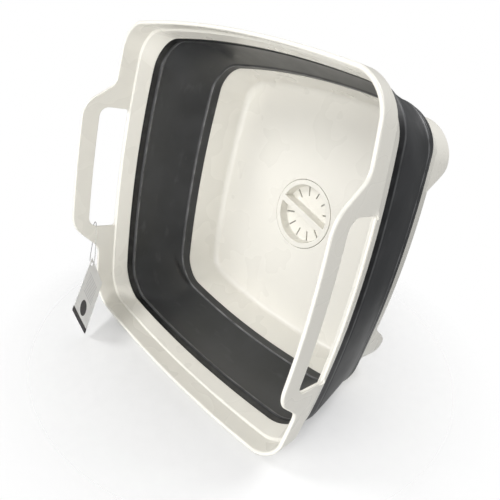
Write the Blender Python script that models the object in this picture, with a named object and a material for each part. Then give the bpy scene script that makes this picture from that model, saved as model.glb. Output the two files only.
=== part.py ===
"""Collapsible camp washbasin: hard rim and tray, soft folding wall, twist drain.

The basin stands upright on its feet, with z = 0 on the ground and the opening up.
X runs from handle to handle. All sizes are metres.
"""

import math

import bmesh
import bpy
import numpy as np
from mathutils import Matrix, Vector

# Wall thicknesses and shared clearances
tray_wall = 0.0026
collar_wall = 0.0024
flange_wall = 0.0025
panel_wall = 0.0026
skirt_wall = 0.0020
gap = 0.0003
cut_overrun = 0.0040

# Drain, from the ground up: fixing under the seat, seat, gasket and dial
ground_clearance = 0.0016
screw_head_height = 0.0015
washer_wall = 0.0007
seat_wall = 0.0018
gasket_wall = 0.0010
gasket_play = 0.0002
dial_floor = 0.0015
pocket_depth = 0.0110
dial_proud = 0.0004
seat_top_z = ground_clearance + screw_head_height + washer_wall + gap * 2 + seat_wall
dial_foot_z = seat_top_z + gap + gasket_wall + gasket_play
dial_top_z = dial_foot_z + dial_floor + pocket_depth

# Heights of the inside form above the ground
tray_depth = 0.0358
lower_band_height = 0.0104
panel_height = 0.0604
upper_band_height = 0.0106
collar_height = 0.0151
ledge_height = 0.0009
flange_height = 0.0190
floor_z = dial_top_z - dial_proud
tray_edge_z = floor_z + tray_depth
lower_hinge_z = tray_edge_z + lower_band_height
upper_hinge_z = lower_hinge_z + panel_height
collar_edge_z = upper_hinge_z + upper_band_height
ledge_low_z = collar_edge_z + collar_height
ledge_top_z = ledge_low_z + ledge_height
lip_z = ledge_top_z + flange_height

# Half widths of the inside form, the same both ways, from the floor outwards
floor_half = 0.1120
tray_spread = 0.0154
lower_band_spread = 0.0021
panel_spread = 0.0116
upper_band_spread = 0.0001
collar_spread = 0.0034
ledge_width = 0.0019
flange_spread = 0.0003
tray_edge_half = floor_half + tray_spread
lower_hinge_half = tray_edge_half + lower_band_spread
upper_hinge_half = lower_hinge_half + panel_spread
collar_edge_half = upper_hinge_half + upper_band_spread
ledge_low_half = collar_edge_half + collar_spread
flange_foot_half = ledge_low_half + ledge_width
lip_half = flange_foot_half + flange_spread

# Corner radii of the inside form, and the extra that the soft panel takes half way up
floor_corner = 0.0150
tray_edge_corner = 0.0242
lower_hinge_corner = 0.0300
wall_top_corner = 0.0300
ledge_corner = 0.0255
lip_corner = 0.0220
panel_corner_ease = 0.0140

# Outward bow of the four sides, on the handle sides (x) and the plain sides (y)
tray_bow_x = 0.0090
tray_bow_y = 0.0107
rim_bow_x = 0.0130
rim_bow_y = 0.0105

# Tongues that the soft wall is moulded round
tongue_inset = 0.0008
tongue_height = 0.0036

# Lip bead along the top of the flange and the handles
bead_proud = 0.0004

# Loop handles and their slots
handle_rise = 0.0310
handle_end_inset = 0.0488
handle_leg_width = 0.0320
handle_slope_deg = 52.0
handle_root_radius = 0.0150
handle_crown_radius = 0.0260
handle_lean = 0.0020
slot_rise = 0.0125
slot_sill = 0.0006
slot_corner = 0.0100
slot_edge_round = 0.0009
shelf_proud = 0.0016
shelf_run = 0.0040
shelf_rise = 0.0050
handle_shoulder_half = lip_half - handle_end_inset
slot_half = handle_shoulder_half - handle_leg_width
slot_top_z = lip_z + slot_rise
slot_bottom_z = ledge_top_z + slot_sill

# Soft wall
hinge_bead = 0.0008
hinge_half_width = 0.0011
hinge_groove = 0.0008
panel_bulge = 0.0029
band_groove_drop = 0.0024
band_groove_half = 0.0007
skirt_height = 0.0026
flare_power = 6
skirt_edge_round = 0.0010
lower_band_wall = tray_wall + gap + skirt_wall
band_groove_z = lower_hinge_z - band_groove_drop
skirt_bottom_z = tray_edge_z - skirt_height

# Tray fillet and feet
tray_fillet = 0.0080
foot_wall = 0.0048
foot_outset = 0.0115
foot_corner = 0.0285
foot_length = 0.0305
foot_sweep = 0.0310
foot_root_height = 0.0162
foot_tail_drop = 0.0030
foot_edge_round = 0.0008
foot_half = floor_half + foot_outset
foot_flat_half = foot_half - foot_length
foot_tail_half = foot_flat_half - foot_sweep
foot_top_z = floor_z + foot_root_height
foot_tail_z = foot_top_z - foot_tail_drop

# Drain dial and the well that it turns in
dial_radius = 0.0377
dial_edge_round = 0.0006
dial_turn_deg = -16.0
dial_rim_width = 0.0056
pocket_draft = 0.0010
bar_width = 0.0070
stem_radius = 0.0045
stem_clearance = 0.0004
well_clearance = 0.0005
well_wall = 0.0026
pocket_radius = dial_radius - dial_rim_width
well_radius = dial_radius + well_clearance

# Drain slots in dial, gasket and seat
slot_count = 12
drain_slot_inset = 0.0004
drain_slot_length = 0.0110
drain_slot_width = 0.0017
drain_slot_outer = pocket_radius - pocket_draft - drain_slot_inset
drain_slot_inner = drain_slot_outer - drain_slot_length

# Drain seals and fixing
gasket_inset = 0.0017
ring_section = 0.0019
ring_play = 0.00045
washer_radius = 0.0078
screw_radius = 0.0011
screw_length = 0.0090
screw_head_radius = 0.0030
head_flat_share = 0.67
recess_width = 0.0008
recess_length = 0.0034
recess_depth = 0.0008
gasket_radius = dial_radius - gasket_inset
ring_groove_depth = ring_section
ring_groove_half = ring_section / 2 + ring_play
ring_groove_z = (dial_foot_z + dial_top_z) / 2
screw_bore = screw_radius + gap

# Hang tag, placed as in the photograph by the corner that hangs in the mouth
tag_width = 0.0460
tag_length = 0.0690
tag_wall = 0.0006
tag_corner = 0.0012
tag_hole = 0.0026
tag_hole_inset = 0.0050
tag_across = (-0.205, -0.867, -0.455)
tag_along = (-0.670, 0.462, -0.580)
tag_side_inset = 0.00235
tag_end_inset = 0.0140
tag_drop = 0.00355
tag_low_corner = (tag_side_inset - lip_half, tag_end_inset - lip_half, lip_z - tag_drop)

# Tag loop: how far its points lie out of the leg, inside or past the slot's end, above the lip
loop_radius = 0.0004
loop_stand_off = 0.0026
loop_end_out = 0.0012
loop_end_inset = 0.0048
loop_end_rise = 0.0050
loop_slot_out = 0.0050
loop_slot_in = 0.0034
loop_slot_past = 0.0012
loop_out_rise = 0.0048
loop_in_rise = 0.0058
loop_edge_out = 0.0038
loop_edge_inset = 0.0090

# Mesh fineness
corner_steps = 6
plain_side_steps = 6
shoulder_steps = 11
grip_steps = 4
arc_steps = 6
panel_steps = 5
slot_arc_steps = 4
ring_steps = 8
round_steps = 56
small_round_steps = 24
loop_steps = 6
sharp_angle_deg = 35.0


def interpolate(z, heights, values):
    """Return the value at height z on the straight runs between the named heights."""
    return float(np.interp(z, heights, values))


def tray_slope():
    """Return the lean of the tray's wall from upright, in radians."""
    run = tray_edge_half - floor_half - tray_fillet
    return math.atan2(run, tray_edge_z - floor_z - tray_fillet)


def tray_section(thickness):
    """Return the half widths and heights of the tray's fillet, from the floor up to the wall."""
    angles = np.linspace(-math.pi / 2, -tray_slope(), arc_steps)
    radius = tray_fillet + thickness
    centre_z = floor_z + tray_fillet
    return [(floor_half + radius * math.cos(angle), centre_z + radius * math.sin(angle))
            for angle in angles]


def panel_middle_share(z):
    """Return 1 at the middle height of the soft panel, falling to 0 at both of its hinge lines."""
    share = (z - lower_hinge_z) / (upper_hinge_z - lower_hinge_z)
    return math.sin(math.pi * min(max(share, 0), 1))


def inside_form(z):
    """Return half width, corner radius and both bows of the inside form at height z."""
    fillet_half, fillet_z = tray_section(0)[-1]
    fillet_share = (fillet_half - floor_half) / (tray_edge_half - floor_half)
    fillet_corner = floor_corner + (tray_edge_corner - floor_corner) * fillet_share
    heights = [floor_z, fillet_z, tray_edge_z, lower_hinge_z, upper_hinge_z, collar_edge_z,
               ledge_low_z, ledge_top_z, lip_z, lip_z + handle_rise]
    halves = [floor_half, fillet_half, tray_edge_half, lower_hinge_half, upper_hinge_half,
              collar_edge_half, ledge_low_half, flange_foot_half, lip_half,
              lip_half + handle_lean]
    corners = [floor_corner, fillet_corner, tray_edge_corner, lower_hinge_corner, wall_top_corner,
               wall_top_corner, ledge_corner, ledge_corner, lip_corner, lip_corner]
    bow_heights = [tray_edge_z, collar_edge_z]
    ease = panel_corner_ease * panel_middle_share(z)
    return (interpolate(z, heights, halves), interpolate(z, heights, corners) + ease,
            interpolate(z, bow_heights, [tray_bow_x, rim_bow_x]),
            interpolate(z, bow_heights, [tray_bow_y, rim_bow_y]))


def side_shares():
    """Return places along a handle side, as shares of its straight half, finer at the shoulders."""
    straight = lip_half - lip_corner
    inner = handle_shoulder_half - shoulder_run()
    grip = np.linspace(-inner, inner, grip_steps * 2, endpoint=False)
    rise = np.linspace(inner, handle_shoulder_half, shoulder_steps, endpoint=False)
    ends = np.array([handle_shoulder_half, straight])
    upper = np.concatenate([rise, ends])
    return np.concatenate([-upper[::-1], grip[1:], upper]) / straight


def shoulder_run():
    """Return the length along the side that one handle shoulder takes."""
    slope = math.radians(handle_slope_deg)
    bends = (handle_root_radius + handle_crown_radius) * math.sin(slope)
    straight = handle_rise - (handle_root_radius + handle_crown_radius) * (1 - math.cos(slope))
    return bends + straight / math.tan(slope)


def handle_lift(y):
    """Return how far the handle stands above the lip at distance y from its middle."""
    slope = math.radians(handle_slope_deg)
    away = handle_shoulder_half - abs(y)
    if away <= 0:
        return 0.0
    root_run = handle_root_radius * math.sin(slope)
    if away < root_run:
        return handle_root_radius - math.sqrt(handle_root_radius ** 2 - away ** 2)
    crown_start = shoulder_run() - handle_crown_radius * math.sin(slope)
    if away < crown_start:
        root_lift = handle_root_radius * (1 - math.cos(slope))
        return root_lift + (away - root_run) * math.tan(slope)
    left = max(shoulder_run() - away, 0)
    drop = handle_crown_radius - math.sqrt(handle_crown_radius ** 2 - left ** 2)
    return handle_rise - drop


def stations(with_handles):
    """Return the places round a ring: corner-centre shares, outward directions, handle flags."""
    places = []
    plain_side = np.linspace(-1, 1, plain_side_steps + 1)
    handle_side = side_shares() if with_handles else plain_side
    for quarter in range(4):
        turn = quarter * math.pi / 2
        along = handle_side if quarter % 2 == 0 else plain_side
        direction = (math.cos(turn), math.sin(turn))
        for share in along:
            centre = (direction[0] - direction[1] * share, direction[1] + direction[0] * share)
            places.append((centre, direction, quarter % 2 == 0))
        corner = (direction[0] - direction[1], direction[1] + direction[0])
        for step in range(1, corner_steps):
            angle = turn + step / corner_steps * math.pi / 2
            places.append((corner, (math.cos(angle), math.sin(angle)), False))
    return places


def ring(half, corner, bow_x, bow_y, z, lift=None, with_handles=False):
    """Return one bowed rounded square as rows of x, y, z, with an optional lift of each row."""
    rows = []
    for centre, direction, on_handle in stations(with_handles):
        x = centre[0] * (half - corner) + direction[0] * corner
        y = centre[1] * (half - corner) + direction[1] * corner
        bowed_x = x * (1 + bow_x / half * (1 - (y / half) ** 2))
        bowed_y = y * (1 + bow_y / half * (1 - (x / half) ** 2))
        height = z + (lift(x, y, on_handle) if lift else 0)
        rows.append((bowed_x, bowed_y, height))
    return np.array(rows)


def form_ring(offset, z, with_handles=False):
    """Return the ring that lies offset outside the inside form at height z."""
    half, corner, bow_x, bow_y = inside_form(z)
    return ring(half + offset, corner + offset, bow_x, bow_y, z, None, with_handles)


def raised_ring(offset, z):
    """Return a ring of the flange top, lifted and leant out where a handle stands."""
    half, corner, bow_x, bow_y = inside_form(z)

    def lift(x, y, on_handle):
        return handle_lift(y) if on_handle else 0.0

    rows = ring(half + offset, corner + offset, bow_x, bow_y, z, lift, True)
    lean = (rows[:, 2] - z) / handle_rise * handle_lean
    rows[:, 0] += np.sign(rows[:, 0]) * lean
    return rows


def shelf_ring(offset, z):
    """Return a ring of the rim's outer face, thicker under the hand slots, where fingers rest."""
    rows = form_ring(offset, z, True)
    away = (slot_half + shelf_run - np.abs(rows[:, 1])) / shelf_run
    share = np.clip(away, 0, 1)
    rows[:, 0] += np.sign(rows[:, 0]) * shelf_proud * share
    return rows


def mesh_object(name, points, faces, material):
    """Make a mesh object from points and faces, outward faces, smooth with sharp edges."""
    mesh = bpy.data.meshes.new(name)
    mesh.from_pydata([tuple(point) for point in points], [], faces)
    mesh.materials.append(material)
    build = bmesh.new()
    build.from_mesh(mesh)
    bmesh.ops.recalc_face_normals(build, faces=build.faces)
    build.to_mesh(mesh)
    build.free()
    mesh.shade_smooth()
    mesh.set_sharp_from_angle(angle=math.radians(sharp_angle_deg))
    made = bpy.data.objects.new(name, mesh)
    bpy.context.scene.collection.objects.link(made)
    return made


def loft(name, rings, material, closed):
    """Join equal rings in order; closed joins the last to the first, else both ends are capped."""
    count = len(rings[0])
    faces = []
    last = len(rings) if closed else len(rings) - 1
    for row in range(last):
        near = row * count
        far = (row + 1) % len(rings) * count
        for place in range(count):
            after = (place + 1) % count
            faces.append((near + place, near + after, far + after, far + place))
    if not closed:
        faces.append(tuple(range(count)))
        faces.append(tuple(range((len(rings) - 1) * count, len(rings) * count)))
    return mesh_object(name, np.concatenate(rings), faces, material)


def turned(name, profile, material, closed=False, steps=round_steps):
    """Turn a profile of (radius, z) round the z axis; an open profile has its ends capped."""
    angles = np.linspace(0, 2 * math.pi, steps, endpoint=False)
    circle = np.stack([np.cos(angles), np.sin(angles)], axis=1)
    rings = [np.column_stack([circle * radius, np.full(steps, z)]) for radius, z in profile]
    return loft(name, rings, material, closed)


def prism(name, outline, low_z, high_z, material, low_outline=None):
    """Stand an outline of (x, y) points between two heights, with an optional other foot."""
    foot = outline if low_outline is None else low_outline
    rings = [np.column_stack([foot, np.full(len(foot), low_z)]),
             np.column_stack([outline, np.full(len(outline), high_z)])]
    return loft(name, rings, material, False)


def combine(target, tool, operation):
    """Add a Boolean to the target and keep the tool out of the model."""
    change = target.modifiers.new(tool.name, "BOOLEAN")
    change.operation = operation
    change.solver = "EXACT"
    change.object = tool
    tool.hide_render = True
    tool.display_type = "WIRE"


def finish(name, colour, roughness):
    """Return a Principled material of one colour and roughness."""
    made = bpy.data.materials.new(name)
    made.use_nodes = True
    shader = made.node_tree.nodes["Principled BSDF"]
    shader.inputs["Base Color"].default_value = (*colour, 1)
    shader.inputs["Roughness"].default_value = roughness
    shader.inputs["Metallic"].default_value = 0
    made.diffuse_color = (*colour, 1)
    return made


def rounded_slot(inner, outer, width):
    """Return a round-ended slot outline that lies along +x between two radii."""
    half = width / 2
    angles = np.linspace(-math.pi / 2, math.pi / 2, slot_arc_steps)
    tip = np.column_stack([outer - half + half * np.cos(angles), half * np.sin(angles)])
    root = np.column_stack([inner + half - half * np.cos(angles), -half * np.sin(angles)])
    return np.concatenate([tip, root])


def turned_outline(outline, degrees):
    """Return an outline of (x, y) points turned about the origin."""
    angle = math.radians(degrees)
    spin = np.array([[math.cos(angle), math.sin(angle)], [-math.sin(angle), math.cos(angle)]])
    return outline @ spin


def drain_slot_angles():
    """Return the slot directions measured from the bar, without the two that the bar covers."""
    pitch = 360 / slot_count
    half_turn = slot_count // 2
    return [pitch * index for index in range(slot_count) if index % half_turn != 0]


def cut_drain_slots(target, low_z, high_z, turn_deg, material):
    """Cut the ring of drain slots through the target between two heights."""
    for index, angle in enumerate(drain_slot_angles()):
        outline = turned_outline(rounded_slot(drain_slot_inner, drain_slot_outer, drain_slot_width),
                                 angle + turn_deg)
        tool = prism(f"{target.name}_slot_cutter_{index}", outline, low_z, high_z, material)
        combine(target, tool, "DIFFERENCE")


def lip_bead_rings():
    """Return the rings of the rounded bead along the top of the flange and handles."""
    radius = flange_wall / 2 + bead_proud
    centre_z = lip_z - radius
    angles = np.linspace(math.pi, 0, arc_steps)
    return [raised_ring(flange_wall / 2 + radius * math.cos(angle),
                        centre_z + radius * math.sin(angle)) for angle in angles]


def slot_ring(side, depth, growth):
    """Return the hand slot's outline on a surface at a depth through the flange."""
    half = slot_half + growth
    top = slot_top_z + growth
    bottom = slot_bottom_z - growth
    corner = slot_corner + growth
    angles = np.linspace(0, math.pi / 2, arc_steps)
    run = np.linspace(-half, half, grip_steps * 4 + 1)
    right = np.column_stack([half - corner + corner * np.cos(angles),
                             top - corner + corner * np.sin(angles)])
    left = np.column_stack([-right[::-1, 0], right[::-1, 1]])
    top_run = np.column_stack([-run, np.full(len(run), top)])
    top_run = top_run[np.abs(top_run[:, 0]) < half - corner]
    outline = np.concatenate([right, top_run, left, np.column_stack([run, np.full(len(run), bottom)])])
    rows = []
    for y, z in outline:
        form_half, _, bow_x, _ = inside_form(z)
        mid = form_half + flange_wall / 2
        face = mid * (1 + bow_x / mid * (1 - (y / mid) ** 2))
        rows.append((side * (face + depth), y, z))
    return np.array(rows)


def slot_cutter(name, side, material):
    """Return a cutter for one hand slot, flared at both faces so that the edges come out round."""
    half_wall = flange_wall / 2
    steps = [(-half_wall - cut_overrun, slot_edge_round), (-half_wall, slot_edge_round),
             (-half_wall + slot_edge_round * (1 - math.cos(math.pi / 4)),
              slot_edge_round * (1 - math.sin(math.pi / 4))),
             (-half_wall + slot_edge_round, 0)]
    mirrored = [(-depth, growth) for depth, growth in reversed(steps)]
    rings = [slot_ring(side, depth, growth) for depth, growth in steps + mirrored]
    return loft(name, rings, material, False)


def make_rim_frame(material):
    """Return the hard rim: collar, ledge, flange, lip and both loop handles in one moulding."""
    outer_tongue = collar_wall - tongue_inset
    tongue_z = collar_edge_z - tongue_height
    inside = [(0, collar_edge_z), (0, ledge_low_z), (0, ledge_top_z)]
    outside = [(collar_wall, ledge_low_z), (collar_wall, collar_edge_z), (outer_tongue, collar_edge_z),
               (outer_tongue, tongue_z), (tongue_inset, tongue_z), (tongue_inset, collar_edge_z)]
    rings = [form_ring(offset, z, True) for offset, z in inside] + lip_bead_rings()
    rings += [form_ring(flange_wall, slot_bottom_z + shelf_rise, True),
              shelf_ring(flange_wall, slot_bottom_z), shelf_ring(flange_wall, ledge_top_z)]
    rings += [form_ring(offset, z, True) for offset, z in outside]
    rim = loft("rim_frame", rings, material, True)
    for label, side in (("left", -1), ("right", 1)):
        combine(rim, slot_cutter(f"{label}_slot_cutter", side, material), "DIFFERENCE")
    return rim


def bulge(z):
    """Return how far the soft panel swells outwards at height z."""
    return panel_bulge * panel_middle_share(z)


def flare(z):
    """Return how much thicker the panel is at height z, where it runs into the lower band."""
    share = (z - band_groove_z) / (upper_hinge_z - band_groove_z)
    return (lower_band_wall - panel_wall) * (1 - share) ** flare_power


def make_folding_wall(material):
    """Return the soft wall: lower band, wide folding panel and upper band with hinge lines."""
    low_z = tray_edge_z + gap
    high_z = collar_edge_z - gap
    low_in = lower_hinge_z - hinge_half_width
    low_out = lower_hinge_z + hinge_half_width
    up_in = upper_hinge_z - hinge_half_width
    up_out = upper_hinge_z + hinge_half_width
    groove_top_z = band_groove_z + band_groove_half
    groove_bottom_z = band_groove_z - band_groove_half
    panel = np.linspace(low_out, up_in, panel_steps)
    inner = [(0, low_z), (0, low_in), (-hinge_bead, lower_hinge_z)]
    inner += [(bulge(z), z) for z in panel]
    inner += [(-hinge_bead, upper_hinge_z), (0, up_out), (0, high_z)]
    top_groove_z = collar_edge_z - tongue_height - gap
    top_groove = [(tongue_inset - gap, high_z), (tongue_inset - gap, top_groove_z),
                  (collar_wall - tongue_inset + gap, top_groove_z),
                  (collar_wall - tongue_inset + gap, high_z)]
    outer = [(collar_wall, high_z), (collar_wall, up_out), (collar_wall - hinge_groove, upper_hinge_z)]
    outer += [(panel_wall + bulge(z) + flare(z), z) for z in reversed(panel)]
    outer += [(panel_wall + flare(groove_top_z), groove_top_z),
              (lower_band_wall - hinge_groove, band_groove_z), (lower_band_wall, groove_bottom_z),
              (lower_band_wall, skirt_bottom_z + skirt_edge_round),
              (lower_band_wall - skirt_edge_round, skirt_bottom_z)]
    low_groove_z = tray_edge_z + tongue_height + gap
    lower = [(tray_wall + gap, skirt_bottom_z), (tray_wall + gap, low_z),
             (tray_wall - tongue_inset + gap, low_z),
             (tray_wall - tongue_inset + gap, low_groove_z),
             (tongue_inset - gap, low_groove_z), (tongue_inset - gap, low_z)]
    rings = [form_ring(offset, z) for offset, z in inner + top_groove + outer + lower]
    return loft("folding_wall", rings, material, True)


def tray_ring(half, z, thickness):
    """Return a ring of the tray, whose corners follow the fillet in to the floor."""
    inner_half = half - thickness
    corner = np.interp(inner_half, [floor_half, tray_edge_half], [floor_corner, tray_edge_corner])
    return ring(half, float(corner) + thickness, tray_bow_x, tray_bow_y, z)


def foot_lift(x, y, on_handle):
    """Return the height of the foot skirt's lower edge, low at the corners and high between."""
    along = min(abs(x), abs(y))
    share = (foot_flat_half - along) / (foot_flat_half - foot_tail_half)
    share = min(max(share, 0), 1)
    return foot_tail_z * share * share * (3 - 2 * share)


def make_feet(material):
    """Return the foot skirt: four corner feet whose lower edges sweep up along the sides."""

    def low_ring(inset, z):
        return ring(foot_half - inset, foot_corner - inset, tray_bow_x, tray_bow_y, z, foot_lift)

    def top_ring(inset):
        return ring(foot_half - inset, foot_corner - inset, tray_bow_x, tray_bow_y, foot_top_z)

    rings = [low_ring(foot_edge_round, 0), low_ring(0, foot_edge_round), top_ring(0),
             top_ring(foot_wall), low_ring(foot_wall, foot_edge_round),
             low_ring(foot_wall - foot_edge_round, 0)]
    return loft("foot_skirt_tool", rings, material, True)


def make_base_tray(material):
    """Return the hard tray: floor, sloped wall, corner feet and the drain well with its seat."""
    outer = [tray_ring(half, z, tray_wall) for half, z in tray_section(tray_wall)]
    outer += [form_ring(tray_wall, tray_edge_z), form_ring(tray_wall - tongue_inset, tray_edge_z),
              form_ring(tray_wall - tongue_inset, tray_edge_z + tongue_height),
              form_ring(tongue_inset, tray_edge_z + tongue_height)]
    tray = loft("base_tray", outer, material, False)
    combine(tray, make_feet(material), "UNION")
    boss_radius = well_radius + well_wall
    seat_low_z = seat_top_z - seat_wall
    boss_profile = [(boss_radius, seat_low_z), (boss_radius, floor_z - tray_wall / 2)]
    boss = turned("well_boss_tool", boss_profile, material)
    combine(tray, boss, "UNION")
    inner = [tray_ring(half, z, 0) for half, z in tray_section(0)]
    inner += [form_ring(0, tray_edge_z), form_ring(tongue_inset, tray_edge_z),
              form_ring(tongue_inset, tray_edge_z + tongue_height + cut_overrun)]
    combine(tray, loft("tray_cavity_cutter", inner, material, False), "DIFFERENCE")
    well_profile = [(well_radius, seat_top_z), (well_radius, floor_z + cut_overrun)]
    well = turned("well_cutter", well_profile, material)
    combine(tray, well, "DIFFERENCE")
    stem_hole = stem_radius + stem_clearance
    bore_profile = [(stem_hole, seat_low_z - cut_overrun), (stem_hole, seat_top_z + cut_overrun)]
    bore = turned("stem_bore_cutter", bore_profile, material)
    combine(tray, bore, "DIFFERENCE")
    open_turn = dial_turn_deg + 180 / slot_count
    cut_drain_slots(tray, seat_low_z - cut_overrun, seat_top_z + cut_overrun, open_turn, material)
    return tray


def half_moon(radius, flat):
    """Return the outline of one pocket: an arc of the radius closed by a chord at y = flat."""
    reach = math.asin(flat / radius)
    angles = np.linspace(reach, math.pi - reach, round_steps // 2)
    return np.column_stack([radius * np.cos(angles), radius * np.sin(angles)])


def make_drain_dial(material):
    """Return the twist dial: two deep finger pockets, grip bar, drain slots and stem."""
    stem_z = seat_top_z - seat_wall
    groove_radius = dial_radius - ring_groove_depth
    profile = [(stem_radius, stem_z), (stem_radius, dial_foot_z), (dial_radius, dial_foot_z),
               (dial_radius, ring_groove_z - ring_groove_half),
               (groove_radius, ring_groove_z - ring_groove_half),
               (groove_radius, ring_groove_z + ring_groove_half),
               (dial_radius, ring_groove_z + ring_groove_half),
               (dial_radius, dial_top_z - dial_edge_round),
               (dial_radius - dial_edge_round, dial_top_z)]
    dial = turned("drain_dial", profile, material)
    bed_z = dial_top_z - pocket_depth
    for label, turn in (("upper", 0), ("lower", 180)):
        opening = turned_outline(half_moon(pocket_radius, bar_width / 2), dial_turn_deg + turn)
        bed = turned_outline(half_moon(pocket_radius - pocket_draft, bar_width / 2 + pocket_draft),
                             dial_turn_deg + turn)
        rise = cut_overrun / pocket_depth
        wide = opening + (opening - bed) * rise
        tool = prism(f"{label}_pocket_cutter", wide, bed_z, dial_top_z + cut_overrun, material, bed)
        combine(dial, tool, "DIFFERENCE")
    cut_drain_slots(dial, dial_foot_z - cut_overrun / 4, bed_z + cut_overrun / 4, dial_turn_deg,
                    material)
    bore_profile = [(screw_bore, stem_z - cut_overrun), (screw_bore, stem_z + screw_length + gap)]
    bore = turned("screw_bore_cutter", bore_profile, material, False, small_round_steps)
    combine(dial, bore, "DIFFERENCE")
    return dial


def make_drain_gasket(material):
    """Return the soft face seal on the seat, with slots that match the seat's slots."""
    low = seat_top_z + gap
    high = low + gasket_wall
    hole = stem_radius + stem_clearance
    profile = [(hole, low), (gasket_radius, low), (gasket_radius, high), (hole, high)]
    gasket = turned("drain_gasket", profile, material, True)
    open_turn = dial_turn_deg + 180 / slot_count
    cut_drain_slots(gasket, low - cut_overrun, high + cut_overrun, open_turn, material)
    return gasket


def make_dial_seal(material):
    """Return the round seal ring in the dial's groove."""
    centre = dial_radius - ring_groove_depth + gap + ring_section / 2
    angles = np.linspace(0, 2 * math.pi, ring_steps, endpoint=False)
    profile = [(centre + ring_section / 2 * math.cos(angle),
                ring_groove_z + ring_section / 2 * math.sin(angle)) for angle in angles]
    return turned("dial_seal_ring", profile, material, True)


def washer_high_z():
    """Return the height of the washer's upper face, just under the seat."""
    return seat_top_z - seat_wall - gap


def make_washer(material):
    """Return the retaining washer under the seat."""
    high = washer_high_z()
    low = high - washer_wall
    hole = screw_radius + gap
    profile = [(hole, low), (washer_radius, low), (washer_radius, high), (hole, high)]
    return turned("retaining_washer", profile, material, True, small_round_steps)


def make_screw(material):
    """Return the screw that holds the dial down, with a cross recess in its head."""
    head_high = washer_high_z() - washer_wall - gap
    head_low = head_high - screw_head_height
    tip = seat_top_z - seat_wall + screw_length - gap
    profile = [(screw_head_radius * head_flat_share, head_low),
               (screw_head_radius, head_low + screw_head_height / 2),
               (screw_head_radius, head_high), (screw_radius, head_high), (screw_radius, tip)]
    screw = turned("retaining_screw", profile, material, False, small_round_steps)
    across = np.array([(1, 1), (-1, 1), (-1, -1), (1, -1)])
    for label, size in (("x", (recess_length, recess_width)), ("y", (recess_width, recess_length))):
        outline = across * np.array(size) / 2
        tool = prism(f"recess_cutter_{label}", outline, head_low - cut_overrun, head_low + recess_depth,
                     material)
        combine(screw, tool, "DIFFERENCE")
    return screw


def leg_middle_x():
    """Return the x of the flange's mid surface at the left handle's lower leg."""
    half, _, bow_x, _ = inside_form(lip_z)
    mid = half + flange_wall / 2
    middle_y = -(slot_half + handle_shoulder_half) / 2
    return -mid * (1 + bow_x / mid * (1 - (middle_y / mid) ** 2))


def tag_frame():
    """Return the tag's turned frame with its origin at the hole, from the tag's low corner."""
    across = np.array(tag_across) / np.linalg.norm(tag_across)
    along = np.array(tag_along)
    along = along - across * along.dot(across)
    along = along / np.linalg.norm(along)
    normal = np.cross(across, along)
    frame = Matrix.Identity(4)
    for row in range(3):
        frame[row][0] = across[row]
        frame[row][1] = along[row]
        frame[row][2] = normal[row]
    hole = np.array(tag_low_corner) - across * (tag_width - tag_hole_inset) - along * tag_hole_inset
    frame.translation = Vector(hole)
    return frame


def make_hang_tag(material):
    """Return the plain card tag with a hole near its upper corner."""
    half_width = tag_width / 2
    half_length = tag_length / 2
    angles = np.linspace(0, math.pi / 2, arc_steps)
    arc = np.column_stack([np.cos(angles), np.sin(angles)]) * tag_corner
    outline = []
    for quarter in range(4):
        turned_arc = turned_outline(arc, 90 * quarter)
        signs = np.array([(1, 1), (-1, 1), (-1, -1), (1, -1)][quarter])
        outline.append(turned_arc + signs * (np.array([half_width, half_length]) - tag_corner))
    hole_place = np.array([half_width - tag_hole_inset, tag_hole_inset - half_length])
    card = np.concatenate(outline) + hole_place
    tag = prism("hang_tag", card, -tag_wall / 2, tag_wall / 2, material)
    hole_angles = np.linspace(0, 2 * math.pi, arc_steps * 3, endpoint=False)
    circle = np.column_stack([np.cos(hole_angles), np.sin(hole_angles)]) * tag_hole
    hole = prism("tag_hole_cutter", circle, -cut_overrun, cut_overrun, material)
    combine(tag, hole, "DIFFERENCE")
    tag.matrix_world = tag_frame()
    hole.matrix_world = tag_frame()
    return tag


def loop_path():
    """Return the points that the loop passes: round the handle's leg and through the hole."""
    hole = np.array(tag_frame().translation)
    normal = np.array(tag_frame().col[2][:3])
    leg = leg_middle_x()
    end_y = loop_end_inset - slot_half
    past_y = -loop_slot_past - slot_half
    edge_y = loop_edge_inset - handle_shoulder_half
    slot_end = np.array([leg - loop_end_out, end_y, lip_z + loop_end_rise])
    outer_slot = np.array([leg - loop_slot_out, past_y, lip_z + loop_out_rise])
    outer_edge = np.array([leg - loop_edge_out, edge_y, lip_z + loop_out_rise])
    inner_slot = np.array([leg + loop_slot_in, past_y, lip_z + loop_in_rise])
    pull = slot_end - hole
    pull = pull - normal * pull.dot(normal)
    pull = pull / np.linalg.norm(pull)
    seat = hole + pull * (tag_hole - loop_radius - gap)
    below = seat + (pull - normal) * loop_stand_off
    above = seat + (pull + normal) * loop_stand_off
    return np.array([slot_end, outer_slot, outer_edge, below, seat, above, inner_slot])


def smooth_closed(points, steps):
    """Return a closed curve through the points, steps to a span, its slope from both neighbours."""
    before = np.roll(points, 1, axis=0)
    after = np.roll(points, -1, axis=0)
    slopes = (after - before) / 2
    rows = []
    for share in np.arange(steps) / steps:
        ease = share * share * (3 - 2 * share)
        leave = share * (1 - share) ** 2
        arrive = share * share * (share - 1)
        next_slopes = np.roll(slopes, -1, axis=0)
        rows.append(points * (1 - ease) + after * ease + slopes * leave + next_slopes * arrive)
    return np.stack(rows, axis=1).reshape(-1, 3)


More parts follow.
